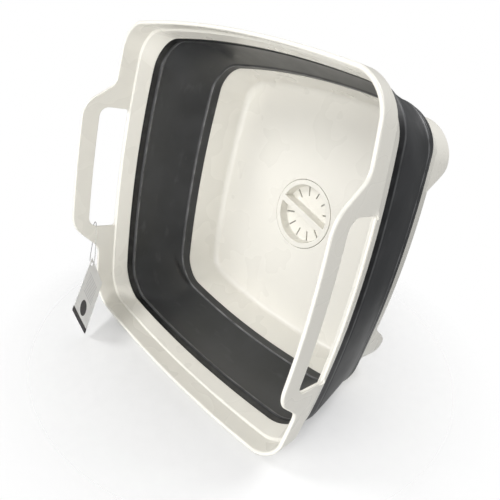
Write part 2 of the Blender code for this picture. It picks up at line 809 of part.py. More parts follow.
def make_tag_loop(material):
    """Return the thin loop that goes round the handle's leg and through the tag's hole."""
    path = smooth_closed(loop_path(), loop_steps)
    ways = np.roll(path, -1, axis=0) - np.roll(path, 1, axis=0)
    turns = np.linspace(0, 2 * math.pi, arc_steps, endpoint=False)
    rings = []
    for centre, way in zip(path, ways):
        way = Vector(way).normalized()
        side = way.cross(tag_frame().col[1].xyz).normalized()
        lift = side.cross(way)
        section = np.outer(np.cos(turns), side) + np.outer(np.sin(turns), lift)
        rings.append(centre + section * loop_radius)
    return loft("tag_loop", rings, material, True)


def main():
    """Clear the scene and build every piece."""
    for old in list(bpy.data.objects):
        bpy.data.objects.remove(old)
    cream = finish("cream_plastic", (0.80, 0.77, 0.69), 0.38)
    charcoal = finish("charcoal_rubber", (0.045, 0.046, 0.050), 0.55)
    seal_grey = finish("seal_rubber", (0.34, 0.33, 0.30), 0.60)
    steel = finish("screw_steel", (0.60, 0.60, 0.60), 0.30)
    card = finish("white_card", (0.86, 0.86, 0.86), 0.60)
    clear = finish("clear_loop", (0.85, 0.86, 0.87), 0.25)
    steel.node_tree.nodes["Principled BSDF"].inputs["Metallic"].default_value = 1
    make_rim_frame(cream)
    make_folding_wall(charcoal)
    make_base_tray(cream)
    make_drain_dial(cream)
    make_drain_gasket(seal_grey)
    make_dial_seal(seal_grey)
    make_washer(steel)
    make_screw(steel)
    make_hang_tag(card)
    make_tag_loop(clear)


main()
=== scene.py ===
"""Looks of the collapsible washbasin: fine mouldings, soft wall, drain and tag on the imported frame.

The basin stands on its feet, +Z up, X from handle to handle, in metres. Every moulding follows one
inside form: a square with round corners and sides that bow outwards, which changes with height.
"""

import logging
import math
from dataclasses import dataclass
from enum import Enum

import bmesh
import bpy
import numpy as np
from mathutils import Matrix, Vector


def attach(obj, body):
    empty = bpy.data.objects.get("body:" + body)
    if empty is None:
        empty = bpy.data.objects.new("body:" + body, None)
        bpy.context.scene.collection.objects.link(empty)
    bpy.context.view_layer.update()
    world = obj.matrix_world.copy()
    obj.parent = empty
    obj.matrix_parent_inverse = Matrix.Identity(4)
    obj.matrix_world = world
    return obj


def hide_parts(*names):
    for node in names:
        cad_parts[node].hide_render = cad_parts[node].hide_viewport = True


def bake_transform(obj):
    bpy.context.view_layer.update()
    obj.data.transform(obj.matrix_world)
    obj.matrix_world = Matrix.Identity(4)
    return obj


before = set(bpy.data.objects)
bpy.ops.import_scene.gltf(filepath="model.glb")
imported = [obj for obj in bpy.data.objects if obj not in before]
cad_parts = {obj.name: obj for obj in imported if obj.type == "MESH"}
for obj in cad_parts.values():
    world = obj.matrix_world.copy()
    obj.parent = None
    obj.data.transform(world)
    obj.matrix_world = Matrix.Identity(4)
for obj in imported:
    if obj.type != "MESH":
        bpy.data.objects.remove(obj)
log = logging.getLogger("washbasin")
Pair = tuple[float, float]
Triple = tuple[float, float, float]

GAP = 0.0003
OVERRUN = 0.0040
SMOOTH_BELOW_DEG = 42.0
WELD_DISTANCE = 0.00002
SAME_POINT = 0.000001
STRAIGHT_DEG = 89.5
NEVER_ZERO = 1e-12
ROUND_SHARE = 0.98


class Cut(Enum):
    """What a tool does to the piece it meets."""

    ADD = "UNION"
    REMOVE = "DIFFERENCE"


class Side(Enum):
    """The two handle sides, as the sign of X."""

    LEFT = -1
    RIGHT = 1


def unit(vector: np.ndarray) -> np.ndarray:
    """Return the vectors at length one: each divided by the root of its squares' sum."""
    return vector / np.linalg.norm(vector, axis=-1, keepdims=True)


def smoothstep(share: np.ndarray) -> np.ndarray:
    """Return share squared times (3 - 2 share), which runs level at 0 and at 1."""
    return share * share * (3 - 2 * share)


def quarter_round(steps: int) -> tuple[np.ndarray, np.ndarray]:
    """Return 1 - cos a and 1 - sin a for angles a from nothing to a quarter turn."""
    angles = np.linspace(0, math.pi / 2, steps)
    return 1 - np.cos(angles), 1 - np.sin(angles)


def soften(profile: np.ndarray, radii: np.ndarray, steps: int = 6) -> np.ndarray:
    """Return a closed profile whose corners are arcs.

    At each corner the arc's centre lies on the bisector, radius / sin(half the corner's angle) away,
    and the arc runs between the two points radius / tan(half the angle) back along the sides.

    Args:
        profile: Corner points in order, shape (n, 2).
        radii: The arc's radius at each corner, shape (n,).
        steps: Points on each arc.

    Returns:
        The points of the softened profile, in order, without doubles.
    """
    before = unit(np.roll(profile, 1, axis=0) - profile)
    after = unit(np.roll(profile, -1, axis=0) - profile)
    half = np.arccos(np.clip((before * after).sum(axis=1), -1, 1)) / 2
    straight = half > math.radians(STRAIGHT_DEG)
    bisector = unit(before + after + NEVER_ZERO)
    reach = np.where(straight, 0, radii / np.tan(np.where(straight, 1, half)))
    centre = profile + bisector * (radii / np.sin(half))[:, None]
    start = profile + before * reach[:, None] - centre
    end = profile + after * reach[:, None] - centre
    first = np.arctan2(start[:, 1], start[:, 0])
    turn = np.arctan2(end[:, 1], end[:, 0]) - first
    turn = (turn + math.pi) % (2 * math.pi) - math.pi
    angles = first[:, None] + turn[:, None] * np.linspace(0, 1, steps)
    arcs = centre[:, None] + radii[:, None, None] * np.stack([np.cos(angles), np.sin(angles)], axis=2)
    arcs = np.where(straight[:, None, None], profile[:, None], arcs)
    points = arcs.reshape(-1, 2)
    apart = np.linalg.norm(points - np.roll(points, 1, axis=0), axis=1) > SAME_POINT
    return points[apart]


def refine(profile: np.ndarray, longest: float) -> np.ndarray:
    """Return a closed profile with points put in at even shares of each side longer than a length.

    Args:
        profile: Points in order, shape (n, 2).
        longest: The longest side that stays whole, in metres.

    Returns:
        The points with the new ones among them.
    """
    after = np.roll(profile, -1, axis=0)
    counts = np.maximum(np.ceil(np.linalg.norm(after - profile, axis=1) / longest), 1).astype(int)
    starts = np.repeat(np.arange(len(profile)), counts)
    places = np.arange(counts.sum()) - np.repeat(np.cumsum(counts) - counts, counts)
    shares = (places / counts[starts])[:, None]
    return profile[starts] * (1 - shares) + after[starts] * shares


def set_shading(mesh: bpy.types.Mesh) -> None:
    """Shade the mesh smooth, with its sharp edges kept."""
    mesh.shade_smooth()
    mesh.set_sharp_from_angle(angle=math.radians(SMOOTH_BELOW_DEG))


def mesh_points(mesh: bpy.types.Mesh) -> np.ndarray:
    """Return a mesh's points, shape (n, 3).

    Args:
        mesh: The mesh.

    Returns:
        The points, shape (n, 3).
    """
    points = np.empty(len(mesh.vertices) * 3)
    mesh.vertices.foreach_get("co", points)
    return points.reshape(-1, 3)


def add_object(name: str, data: bpy.types.ID) -> bpy.types.Object:
    """Make an object for a mesh, a light or a camera and link it to the scene.

    Args:
        name: The object's name.
        data: Its mesh, light or camera.

    Returns:
        The object, at the origin.
    """
    made = bpy.data.objects.new(name, data)
    bpy.context.scene.collection.objects.link(made)
    return made


def clean(mesh: bpy.types.Mesh) -> None:
    """Join doubled points and turn the faces outwards.

    Args:
        mesh: The mesh, changed in place.
    """
    work = bmesh.new()
    work.from_mesh(mesh)
    bmesh.ops.remove_doubles(work, verts=work.verts, dist=WELD_DISTANCE)
    bmesh.ops.dissolve_degenerate(work, edges=work.edges, dist=WELD_DISTANCE / 2)
    bmesh.ops.recalc_face_normals(work, faces=work.faces)
    work.to_mesh(mesh)
    work.free()


def grid_quads(rows: int, columns: int) -> tuple[np.ndarray, np.ndarray]:
    """Number a grid's points and list its four-sided faces, both rows and columns going once round.

    Point (row, column) joins its neighbours (row + 1, column) and (row, column + 1), and the last
    row and column join the first.

    Args:
        rows: Rows of points.
        columns: Columns of points.

    Returns:
        The numbers, shape (rows, columns), and the faces, shape (rows, columns, 4).
    """
    index = np.arange(rows * columns).reshape(rows, columns)
    beside = np.roll(index, -1, axis=1)
    return index, np.stack([index, beside, np.roll(beside, -1, axis=0), np.roll(index, -1, axis=0)], axis=2)


def grid_piece(name: str, grid: np.ndarray, closed: bool) -> bpy.types.Object:
    """Make a piece from a grid of points whose columns go once round.

    A closed grid joins its last row to its first; an open one is capped at both.

    Args:
        name: The piece's name.
        grid: Points, shape (rows, columns, 3).
        closed: Whether the rows go round too.

    Returns:
        The object, linked to the scene, at the origin.
    """
    index, quads = grid_quads(*grid.shape[:2])
    faces = (quads if closed else quads[:-1]).reshape(-1, 4).tolist()
    if not closed:
        faces += [index[0].tolist(), index[-1].tolist()]
    mesh = bpy.data.meshes.new(name)
    mesh.from_pydata(grid.reshape(-1, 3), [], faces)
    clean(mesh)
    set_shading(mesh)
    return add_object(name, mesh)


def apply_modifiers(piece: bpy.types.Object) -> None:
    """Put the result of a piece's modifiers into its mesh.

    Args:
        piece: The piece, whose modifiers are used up.
    """
    evaluated = piece.evaluated_get(bpy.context.evaluated_depsgraph_get())
    mesh = bpy.data.meshes.new_from_object(evaluated)
    piece.modifiers.clear()
    old = piece.data
    piece.data = mesh
    bpy.data.meshes.remove(old)
    mesh.name = piece.name


def bake(piece: bpy.types.Object) -> None:
    """Let a piece's flat faces rule its shading."""
    piece.modifiers.new("flat faces rule", "WEIGHTED_NORMAL").keep_sharp = True
    apply_modifiers(piece)


def combine(piece: bpy.types.Object, tools: list[bpy.types.Object], cut: Cut) -> None:
    """Add the tools to the piece or take them out of it, then remove them.

    Args:
        piece: The piece that changes.
        tools: Closed solids.
        cut: Whether they are added or removed.
    """
    for tool in tools:
        change = piece.modifiers.new(tool.name, "BOOLEAN")
        change.operation = cut.value
        change.solver = "EXACT"
        change.object = tool
    apply_modifiers(piece)
    clean(piece.data)
    set_shading(piece.data)
    for tool in tools:
        bpy.data.objects.remove(tool)


def turned_grid(profile: np.ndarray, steps: int) -> np.ndarray:
    """Return the grid of a profile of (radius, z) turned round Z: x = r cos a, y = r sin a.

    Args:
        profile: Points, shape (n, 2).
        steps: Points round one turn.

    Returns:
        Points, shape (n, steps, 3).
    """
    angles = np.linspace(0, 2 * math.pi, steps, endpoint=False)
    radius, height = profile[:, :1], profile[:, 1:]
    return np.stack([radius * np.cos(angles), radius * np.sin(angles), height + 0 * angles], axis=2)


def stacked_grid(outlines: np.ndarray, heights: np.ndarray) -> np.ndarray:
    """Return the grid of outlines of (x, y), shape (rows, n, 2), each lying at its own height."""
    level = np.broadcast_to(heights[:, None, None], (*outlines.shape[:2], 1))
    return np.concatenate([outlines, level], axis=2)


@dataclass(frozen=True)
class BasinForm:
    """The inside form of the basin: half width, corner radius and side bow at each height."""

    floor_z: float = 0.0198
    fillet: float = 0.0080
    tray_edge_z: float = 0.0556
    lower_hinge_z: float = 0.0660
    upper_hinge_z: float = 0.1264
    collar_edge_z: float = 0.1370
    ledge_low_z: float = 0.1521
    ledge_top_z: float = 0.1530
    lip_z: float = 0.1720
    handle_rise: float = 0.0310
    handle_lean: float = 0.0020
    floor_half: float = 0.1120
    tray_edge_half: float = 0.1274
    lower_hinge_half: float = 0.1295
    upper_hinge_half: float = 0.1411
    collar_edge_half: float = 0.1412
    ledge_low_half: float = 0.1446
    flange_foot_half: float = 0.1465
    lip_half: float = 0.1468
    floor_corner: float = 0.0150
    tray_edge_corner: float = 0.0242
    lower_hinge_corner: float = 0.0300
    wall_top_corner: float = 0.0300
    ledge_corner: float = 0.0255
    lip_corner: float = 0.0220
    panel_corner_ease: float = 0.0140
    tray_bow: Pair = (0.0090, 0.0107)
    rim_bow: Pair = (0.0130, 0.0105)
    tray_wall: float = 0.0026
    collar_wall: float = 0.0024
    flange_wall: float = 0.0025
    tongue_inset: float = 0.0008
    tongue_height: float = 0.0036

    def levels(self) -> np.ndarray:
        """Return the named heights, the half width at each and the corner radius at each.

        Returns:
            Three rows, shape (3, levels).
        """
        return np.array([
            (self.floor_z, self.floor_half, self.floor_corner),
            (self.tray_edge_z, self.tray_edge_half, self.tray_edge_corner),
            (self.lower_hinge_z, self.lower_hinge_half, self.lower_hinge_corner),
            (self.upper_hinge_z, self.upper_hinge_half, self.wall_top_corner),
            (self.collar_edge_z, self.collar_edge_half, self.wall_top_corner),
            (self.ledge_low_z, self.ledge_low_half, self.ledge_corner),
            (self.ledge_top_z, self.flange_foot_half, self.ledge_corner),
            (self.lip_z, self.lip_half, self.lip_corner),
            (self.lip_z + self.handle_rise, self.lip_half + self.handle_lean, self.lip_corner)]).T

    def half(self, z: np.ndarray) -> np.ndarray:
        """Return the half width at each height, on straight runs between the named heights."""
        heights, halves, _ = self.levels()
        return np.interp(z, heights, halves)

    def corner(self, z: np.ndarray) -> np.ndarray:
        """Return the corner radius at each height: straight runs, and rounder by the panel's share."""
        heights, _, corners = self.levels()
        return np.interp(z, heights, corners) + self.panel_corner_ease * self.panel_share(z)

    def panel_share(self, z: np.ndarray) -> np.ndarray:
        """Return 1 at the panel's middle height and 0 at both hinges: half a sine wave."""
        share = (z - self.lower_hinge_z) / (self.upper_hinge_z - self.lower_hinge_z)
        return np.sin(math.pi * np.clip(share, 0, 1))

    def bows(self, z: np.ndarray) -> tuple[np.ndarray, np.ndarray]:
        """Return how far the handle sides and the plain sides bow out at each height."""
        heights = [self.tray_edge_z, self.collar_edge_z]
        return tuple(np.interp(z, heights, [low, high]) for low, high in zip(self.tray_bow, self.rim_bow))

    def rows(self, pairs: list[tuple[float, ...]]) -> np.ndarray:
        """Place a section's points: each offset has the form's half width at its height added.

        Args:
            pairs: Rows of (offset from the inside form, z, ...).

        Returns:
            Rows of (half width, z, ...).
        """
        table = np.array(pairs)
        table[:, 0] += self.half(table[:, 1])
        return table

    def lean(self) -> float:
        """Return the lean of the tray's wall from upright, in radians."""
        run = self.tray_edge_half - self.floor_half - self.fillet
        return math.atan2(run, self.tray_edge_z - self.floor_z - self.fillet)

    def fillet_arc(self, outside: float, steps: int) -> np.ndarray:
        """Return the tray's round foot: an arc about the fillet's centre, from floor to wall.

        Args:
            outside: How far outside the inside form the arc runs.
            steps: Points on the arc.

        Returns:
            Half widths and heights, shape (steps, 2).
        """
        angles = np.linspace(-math.pi / 2, -self.lean(), steps)
        radius = self.fillet + outside
        return np.stack([self.floor_half + radius * np.cos(angles),
                         self.floor_z + self.fillet + radius * np.sin(angles)], axis=1)


@dataclass(frozen=True)
class Stations:
    """The places round a ring: corner-centre shares, outward ways and which are on a handle side."""

    centres: np.ndarray
    ways: np.ndarray
    handle: np.ndarray

    @classmethod
    def around(cls, corner_steps: int, plain: np.ndarray, handle: np.ndarray) -> "Stations":
        """Lay out four sides with a quarter turn between each two.

        A side's places are shares of the straight length, and a corner's are equal angles.

        Args:
            corner_steps: Steps in each corner's quarter turn.
            plain: Shares from -1 to 1 along the front and the back.
            handle: Shares from -1 to 1 along the two handle sides.

        Returns:
            The places of one ring, counterclockwise from the right side.
        """
        centres, ways, flags = [], [], []
        for quarter in range(4):
            turn = quarter * math.pi / 2
            way = np.array([math.cos(turn), math.sin(turn)])
            side = np.array([-way[1], way[0]])
            shares = handle if quarter % 2 == 0 else plain
            angles = turn + np.arange(1, corner_steps) / corner_steps * math.pi / 2
            centres += [way + side * shares[:, None], np.tile(way + side, (len(angles), 1))]
            ways += [np.tile(way, (len(shares), 1)), np.stack([np.cos(angles), np.sin(angles)], axis=1)]
            flags += [np.full(len(shares), quarter % 2 == 0), np.full(len(angles), False)]
        return cls(np.concatenate(centres), np.concatenate(ways), np.concatenate(flags))

    @classmethod
    def even(cls, corner_steps: int, side_points: int) -> "Stations":
        """Lay out a ring whose four sides have evenly spaced places."""
        shares = np.linspace(-1, 1, side_points)
        return cls.around(corner_steps, shares, shares)

    def rings(self, half: np.ndarray, corner: np.ndarray, bow: tuple[np.ndarray, np.ndarray],
              z: np.ndarray) -> np.ndarray:
        """Return bowed round-cornered squares, one for each row.

        A place is its corner centre times (half - corner) plus its way times corner. Then x grows
        by the share bow / half * (1 - (y / half) squared), and y in the same way by x.

        Args:
            half: Half widths of the rows.
            corner: Corner radii of the rows.
            bow: The bow of the handle sides and of the plain sides, for each row.
            z: Heights of the rows.

        Returns:
            Points, shape (rows, places, 3).
        """
        half, corner = np.asarray(half)[:, None], np.asarray(corner)[:, None]
        flat = [self.centres[:, axis] * (half - corner) + self.ways[:, axis] * corner for axis in (0, 1)]
        bow_x, bow_y = (np.broadcast_to(value, z.shape)[:, None] for value in bow)
        x = flat[0] * (1 + bow_x / half * (1 - (flat[1] / half) ** 2))
        y = flat[1] * (1 + bow_y / half * (1 - (flat[0] / half) ** 2))
        return np.stack([x, y, np.broadcast_to(np.asarray(z)[:, None], x.shape)], axis=2)


def form_rings(form: BasinForm, places: Stations, section: np.ndarray) -> np.ndarray:
    """Return rings for a section of (half width, height), with corners that keep the wall's thickness.

    A ring that lies outside the inside form by some distance has its corner larger by as much.

    Args:
        form: The inside form.
        places: The places of a ring.
        section: Half widths and heights, shape (rows, 2).

    Returns:
        Points, shape (rows, places, 3).
    """
    half, z = section[:, 0], section[:, 1]
    return places.rings(half, form.corner(z) + half - form.half(z), form.bows(z), z)


@dataclass
class RimFrame:
    """The hard rim: collar, ledge, flange, rounded lip and the two loop handles with their slots."""

    form: BasinForm
    bead_proud: float = 0.0004
    shoulder_half: float = 0.0980
    slope_deg: float = 52.0
    root_radius: float = 0.0150
    crown_radius: float = 0.0260
    slot_half: float = 0.0660
    slot_top_z: float = 0.1845
    slot_bottom_z: float = 0.1536
    slot_corner: float = 0.0100
    slot_foot_corner: float = 0.0030
    slot_edge: float = 0.0010
    shelf_proud: float = 0.0016
    shelf_run: float = 0.0040
    shelf_rise: float = 0.0050
    edge_round: float = 0.0007
    outer_share: float = 0.6
    longest_side: float = 0.0021
    slot_longest_side: float = 0.0030
    corner_steps: int = 16
    plain_points: int = 57
    grip_steps: int = 44
    shoulder_steps: int = 30
    beyond_points: int = 8
    slot_corner_steps: int = 12
    flare_steps: int = 6

    def shoulder_run(self) -> float:
        """Return the length along the side that one handle shoulder takes.

        Returns:
            The length, from the foot of the root arc to the end of the crown arc.
        """
        slope = math.radians(self.slope_deg)
        radii = self.root_radius + self.crown_radius
        straight = self.form.handle_rise - radii * (1 - math.cos(slope))
        return radii * math.sin(slope) + straight / math.tan(slope)

    def lift(self, y: np.ndarray) -> np.ndarray:
        """Return the handle's height above the lip: root arc, straight slope, crown arc, level grip.

        Args:
            y: Distances along the side from the handle's middle.

        Returns:
            The lift at each place.
        """
        slope = math.radians(self.slope_deg)
        run, rise = self.shoulder_run(), self.form.handle_rise
        away = np.clip(self.shoulder_half - np.abs(y), 0, run)
        root_run = self.root_radius * math.sin(slope)
        root_lift = self.root_radius * (1 - math.cos(slope))
        left = run - away
        root = self.root_radius - np.sqrt(self.root_radius ** 2 - np.minimum(away, root_run) ** 2)
        straight = root_lift + (away - root_run) * math.tan(slope)
        crown = rise - self.crown_radius + np.sqrt(
            self.crown_radius ** 2 - np.minimum(left, self.crown_radius * math.sin(slope)) ** 2)
        lift = np.where(left < self.crown_radius * math.sin(slope), crown, straight)
        return np.where(away < root_run, root, lift)

    def places(self) -> Stations:
        """Return the places of a ring, close together along the handles' shoulders.

        Returns:
            The places, whose handle sides have more where the shoulders rise.
        """
        straight = self.form.lip_half - self.form.lip_corner
        inner = self.shoulder_half - self.shoulder_run()
        grip = np.linspace(-inner, inner, self.grip_steps, endpoint=False)[1:]
        rise = np.linspace(inner, self.shoulder_half, self.shoulder_steps, endpoint=False)
        beyond = np.linspace(self.shoulder_half, straight, self.beyond_points)
        upper = np.concatenate([rise, beyond])
        handle = np.concatenate([-upper[::-1], grip, upper]) / straight
        return Stations.around(self.corner_steps, np.linspace(-1, 1, self.plain_points), handle)

    def section(self) -> np.ndarray:
        """Return the rim's closed section: inside face up, over the lip, outside face down, tongue.

        Returns:
            Half widths and heights, shape (rows, 2).
        """
        form = self.form
        bead = form.flange_wall / 2 + self.bead_proud
        tongue_z = form.collar_edge_z - form.tongue_height
        outer_tongue = form.collar_wall - form.tongue_inset
        edge = self.edge_round
        table = form.rows([
            (0, form.collar_edge_z, GAP), (0, form.ledge_low_z, edge), (0, form.ledge_top_z, edge),
            (form.flange_wall / 2 - bead, form.lip_z, bead * ROUND_SHARE),
            (form.flange_wall / 2 + bead, form.lip_z, bead * ROUND_SHARE),
            (form.flange_wall, form.ledge_top_z, edge), (form.collar_wall, form.ledge_low_z, edge),
            (form.collar_wall, form.collar_edge_z, GAP), (outer_tongue, form.collar_edge_z, GAP / 2),
            (outer_tongue, tongue_z, GAP), (form.tongue_inset, tongue_z, GAP),
            (form.tongue_inset, form.collar_edge_z, GAP / 2)])
        return refine(soften(table[:, :2], table[:, 2]), self.longest_side)

    def shelf(self, grid: np.ndarray, section: np.ndarray) -> None:
        """Thicken the outer face under the hand slots, where fingers rest.

        The outer rows move out by shelf_proud, times a share that falls to nothing over shelf_run
        beyond the slot's ends and over shelf_rise above the slot's lower edge.

        Args:
            grid: The rim's points, changed in place.
            section: The rim's section, one row for each of the grid's.
        """
        outer = section[:, 0] > self.form.half(section[:, 1]) + self.form.flange_wall * self.outer_share
        above = np.clip((self.slot_bottom_z + self.shelf_rise - section[:, 1]) / self.shelf_rise, 0, 1)
        below = section[:, 1] > self.form.ledge_low_z + self.edge_round
        row_share = np.where(outer & below, above, 0)[:, None]
        along = np.clip((self.slot_half + self.shelf_run - np.abs(grid[..., 1])) / self.shelf_run, 0, 1)
        on_side = np.abs(grid[..., 0]) > self.form.ledge_low_half
        grid[..., 0] += np.sign(grid[..., 0]) * self.shelf_proud * row_share * smoothstep(along) * on_side

    def slot_tool(self, side: Side) -> bpy.types.Object:
        """Return the cutter of one hand slot, flared in a quarter round at both faces.

        Args:
            side: The handle side that it cuts.

        Returns:
            The cutter, which follows the bowed flange.
        """
        form = self.form
        half_wall = form.flange_wall / 2
        sink, grow = quarter_round(self.flare_steps)
        depth = np.concatenate([[half_wall + OVERRUN], half_wall - self.slot_edge * sink])
        growth = self.slot_edge * np.concatenate([grow[:1], grow])
        depth = np.concatenate([-depth, depth[::-1]])
        growth = np.concatenate([growth, growth[::-1]])
        outline = self.slot_outline()
        ways = self.slot_ways(outline)
        flat = outline[None] + ways[None] * growth[:, None, None]
        y, z = flat[..., 0], flat[..., 1]
        middle = form.half(z) + half_wall
        face = middle + form.bows(z)[0] * (1 - (y / middle) ** 2)
        grid = np.stack([side.value * (face + depth[:, None]), y, z], axis=2)
        return grid_piece(f"slot_tool_{side.name.lower()}", grid, False)

    def slot_outline(self) -> np.ndarray:
        """Return the slot's outline of (y, z): round upper corners and small round lower corners.

        Returns:
            Points of (y, z), shape (n, 2).
        """
        corners = np.array([(self.slot_half, self.slot_bottom_z), (self.slot_half, self.slot_top_z),
                            (-self.slot_half, self.slot_top_z), (-self.slot_half, self.slot_bottom_z)])
        radii = np.array([self.slot_foot_corner, self.slot_corner, self.slot_corner, self.slot_foot_corner])
        return refine(soften(corners, radii, self.slot_corner_steps), self.slot_longest_side)

    def slot_ways(self, outline: np.ndarray) -> np.ndarray:
        """Return the outward way at each point of an outline: its run turned a quarter turn."""
        along = unit(np.roll(outline, -1, axis=0) - np.roll(outline, 1, axis=0))
        return np.stack([along[:, 1], -along[:, 0]], axis=1)

    def build(self) -> bpy.types.Object:
        """Build the rim: rings of its section, raised and leant out where a handle stands.

        Returns:
            The rim with both hand slots cut.
        """
        form = self.form
        places, section = self.places(), self.section()
        grid = form_rings(form, places, section)
        foot = self.slot_bottom_z + self.shelf_rise
        top = form.lip_z - form.flange_wall / 2 - self.bead_proud
        share = np.clip((section[:, 1] - foot) / (top - foot), 0, 1)[:, None]
        flat_y = places.centres[:, 1] * (form.lip_half - form.lip_corner)
        rise = self.lift(flat_y) * places.handle * share
        grid[..., 2] += rise
        grid[..., 0] += np.sign(grid[..., 0]) * rise / form.handle_rise * form.handle_lean
        self.shelf(grid, section)
        rim = grid_piece("rim_moulding", grid, True)
        combine(rim, [self.slot_tool(side) for side in Side], Cut.REMOVE)
        bake(rim)
        return rim

    def dress(self, rim: bpy.types.Object, finish: "CreamPlastic") -> None:
        """Give the rim its finish and let it ride in place of the CAD rim.

        Args:
            rim: The finished rim.
            finish: Its finish.
        """
        rim.data.materials.append(finish.material())
        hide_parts("rim_frame")
        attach(rim, "rim")


@dataclass
class FoldingWall:
    """The soft wall: lower band and skirt, lower hinge, wide panel, upper hinge and upper band.

    A fold line is a height and the width over which a painted highlight makes the fold pale.
    """

    form: BasinForm
    panel_wall: float = 0.0026
    bulge: float = 0.0029
    upper_bead: float = 0.0016
    upper_bead_half: float = 0.0021
    upper_bead_z: float = 0.1280
    lower_bead: float = 0.0013
    lower_bead_half: float = 0.0015
    # Heights and widths of the painted highlight lines along the folds.
    fold_lines: tuple[Pair, ...] = ((0.1277, 0.0007), (0.0660, 0.0006), (0.0636, 0.0004))
    groove: float = 0.0008
    lower_band_wall: float = 0.0049
    band_groove_z: float = 0.0636
    band_groove_half: float = 0.0007
    skirt_bottom_z: float = 0.0530
    skirt_round: float = 0.0010
    flare_power: int = 6
    edge_round: float = 0.0005
    crease_half: float = 0.0120
    crease_rise: float = 0.0058
    crease_tilt: float = 0.20
    crease_width: float = 0.0020
    crease_depth: float = 0.0011
    # The crease's share times this spread sets how far painted shade fills the crease.
    crease_spread: float = 5.0
    # Painted shade on the band above the upper bead: where it starts on the bead's flank, and its run.
    shade_start_share: float = 0.35
    shade_run: float = 0.0009
    longest_side: float = 0.0030
    round_steps: int = 5
    panel_points: int = 52
    corner_steps: int = 30
    side_points: int = 45

    def swell(self, z: np.ndarray) -> np.ndarray:
        """Return how far the panel swells outwards: half a sine wave between the hinges."""
        return self.bulge * self.form.panel_share(z)

    def flare(self, z: np.ndarray) -> np.ndarray:
        """Return the wall's growth into the lower band: their difference times (1 - share) to a power."""
        share = (z - self.band_groove_z) / (self.form.upper_hinge_z - self.band_groove_z)
        return (self.lower_band_wall - self.panel_wall) * (1 - share) ** self.flare_power

    def section(self) -> np.ndarray:
        """Return the wall's closed section: inside face up, tongue groove, outside face down.

        Returns:
            Half widths and heights, shape (rows, 2).
        """
        form, edge = self.form, self.edge_round
        low_z, high_z = form.tray_edge_z + GAP, form.collar_edge_z - GAP
        low_in, low_out = (form.lower_hinge_z + way * self.lower_bead_half for way in (-1, 1))
        up_in, up_out = (self.upper_bead_z + way * self.upper_bead_half for way in (-1, 1))
        panel = np.linspace(low_out, up_in, self.panel_points)
        inner_side = form.tongue_inset - GAP
        outer_side = form.collar_wall - form.tongue_inset + GAP
        top_z = form.collar_edge_z - form.tongue_height - GAP
        foot_z = form.tray_edge_z + form.tongue_height + GAP
        tray_side = form.tray_wall - form.tongue_inset + GAP
        groove_top, groove_low = (self.band_groove_z + way * self.band_groove_half for way in (1, -1))
        rows = [(0, low_z, edge), (0, low_in, edge), (-self.lower_bead, form.lower_hinge_z, edge * 2)]
        rows += [(self.swell(z), z, 0) for z in panel]
        rows += [(-self.upper_bead, self.upper_bead_z, edge * 3), (0, up_out, edge * 2),
                 (0, high_z, edge / 2),
                 (inner_side, high_z, edge / 4), (inner_side, top_z, edge / 4),
                 (outer_side, top_z, edge / 4), (outer_side, high_z, edge / 4),
                 (form.collar_wall, high_z, edge / 2), (form.collar_wall, up_out, edge),
                 (form.collar_wall, form.upper_hinge_z, edge * 2)]
        rows += [(self.panel_wall + self.swell(z) + self.flare(z), z, 0) for z in panel[::-1]]
        rows += [(self.panel_wall + self.flare(groove_top), groove_top, edge),
                 (self.lower_band_wall - self.groove, self.band_groove_z, edge),
                 (self.lower_band_wall, groove_low, edge),
                 (self.lower_band_wall, self.skirt_bottom_z, self.skirt_round),
                 (form.tray_wall + GAP, self.skirt_bottom_z, edge),
                 (form.tray_wall + GAP, low_z, edge / 4), (tray_side, low_z, edge / 4),
                 (tray_side, foot_z, edge / 4), (inner_side, foot_z, edge / 4),
                 (inner_side, low_z, edge / 4)]
        table = form.rows(rows)
        return refine(soften(table[:, :2], table[:, 2], self.round_steps), self.longest_side)

    def build(self) -> bpy.types.Object:
        """Build the wall as rings of its section round the form.

        Returns:
            The wall, with its crease, and with where painted shade and painted highlight go marked on its
            points.
        """
        places = Stations.even(self.corner_steps, self.side_points)
        grid = form_rings(self.form, places, self.section())
        self.crease(grid)
        wall = grid_piece("wall_moulding", grid, True)
        bake(wall)
        self.mark_painted_light(wall.data)
        return wall

    def crease(self, grid: np.ndarray) -> None:
        """Press the crease into one corner that the soft wall keeps from its folding."""
        grid[..., :2] += self.crease_depth * self.crease_share(grid)[..., None] * self.crease_way()

    def crease_way(self) -> np.ndarray:
        """Return the outward way of the creased corner."""
        return np.array([-1.0, -1.0]) / math.sqrt(2)

    def crease_share(self, points: np.ndarray) -> np.ndarray:
        """Return 1 in the crease and 0 away from it, at points whose last axis is x, y, z.

        It is exp(-(along / half length) squared - (up / width) squared), where along runs across the
        corner and up is the height over a line that rises towards the handle side.

        Args:
            points: Points, shape (..., 3).

        Returns:
            The shares, without the last axis.
        """
        way = self.crease_way()
        along = points[..., :2] @ np.array([-way[1], way[0]])
        up = points[..., 2] - self.form.lower_hinge_z - self.crease_rise + self.crease_tilt * along
        share = np.exp(-(along / self.crease_half) ** 2 - (up / self.crease_width) ** 2)
        corner = points[..., :2] @ way > self.form.floor_half
        return share * (corner & (points[..., 2] > self.form.lower_hinge_z + self.crease_width / 2))

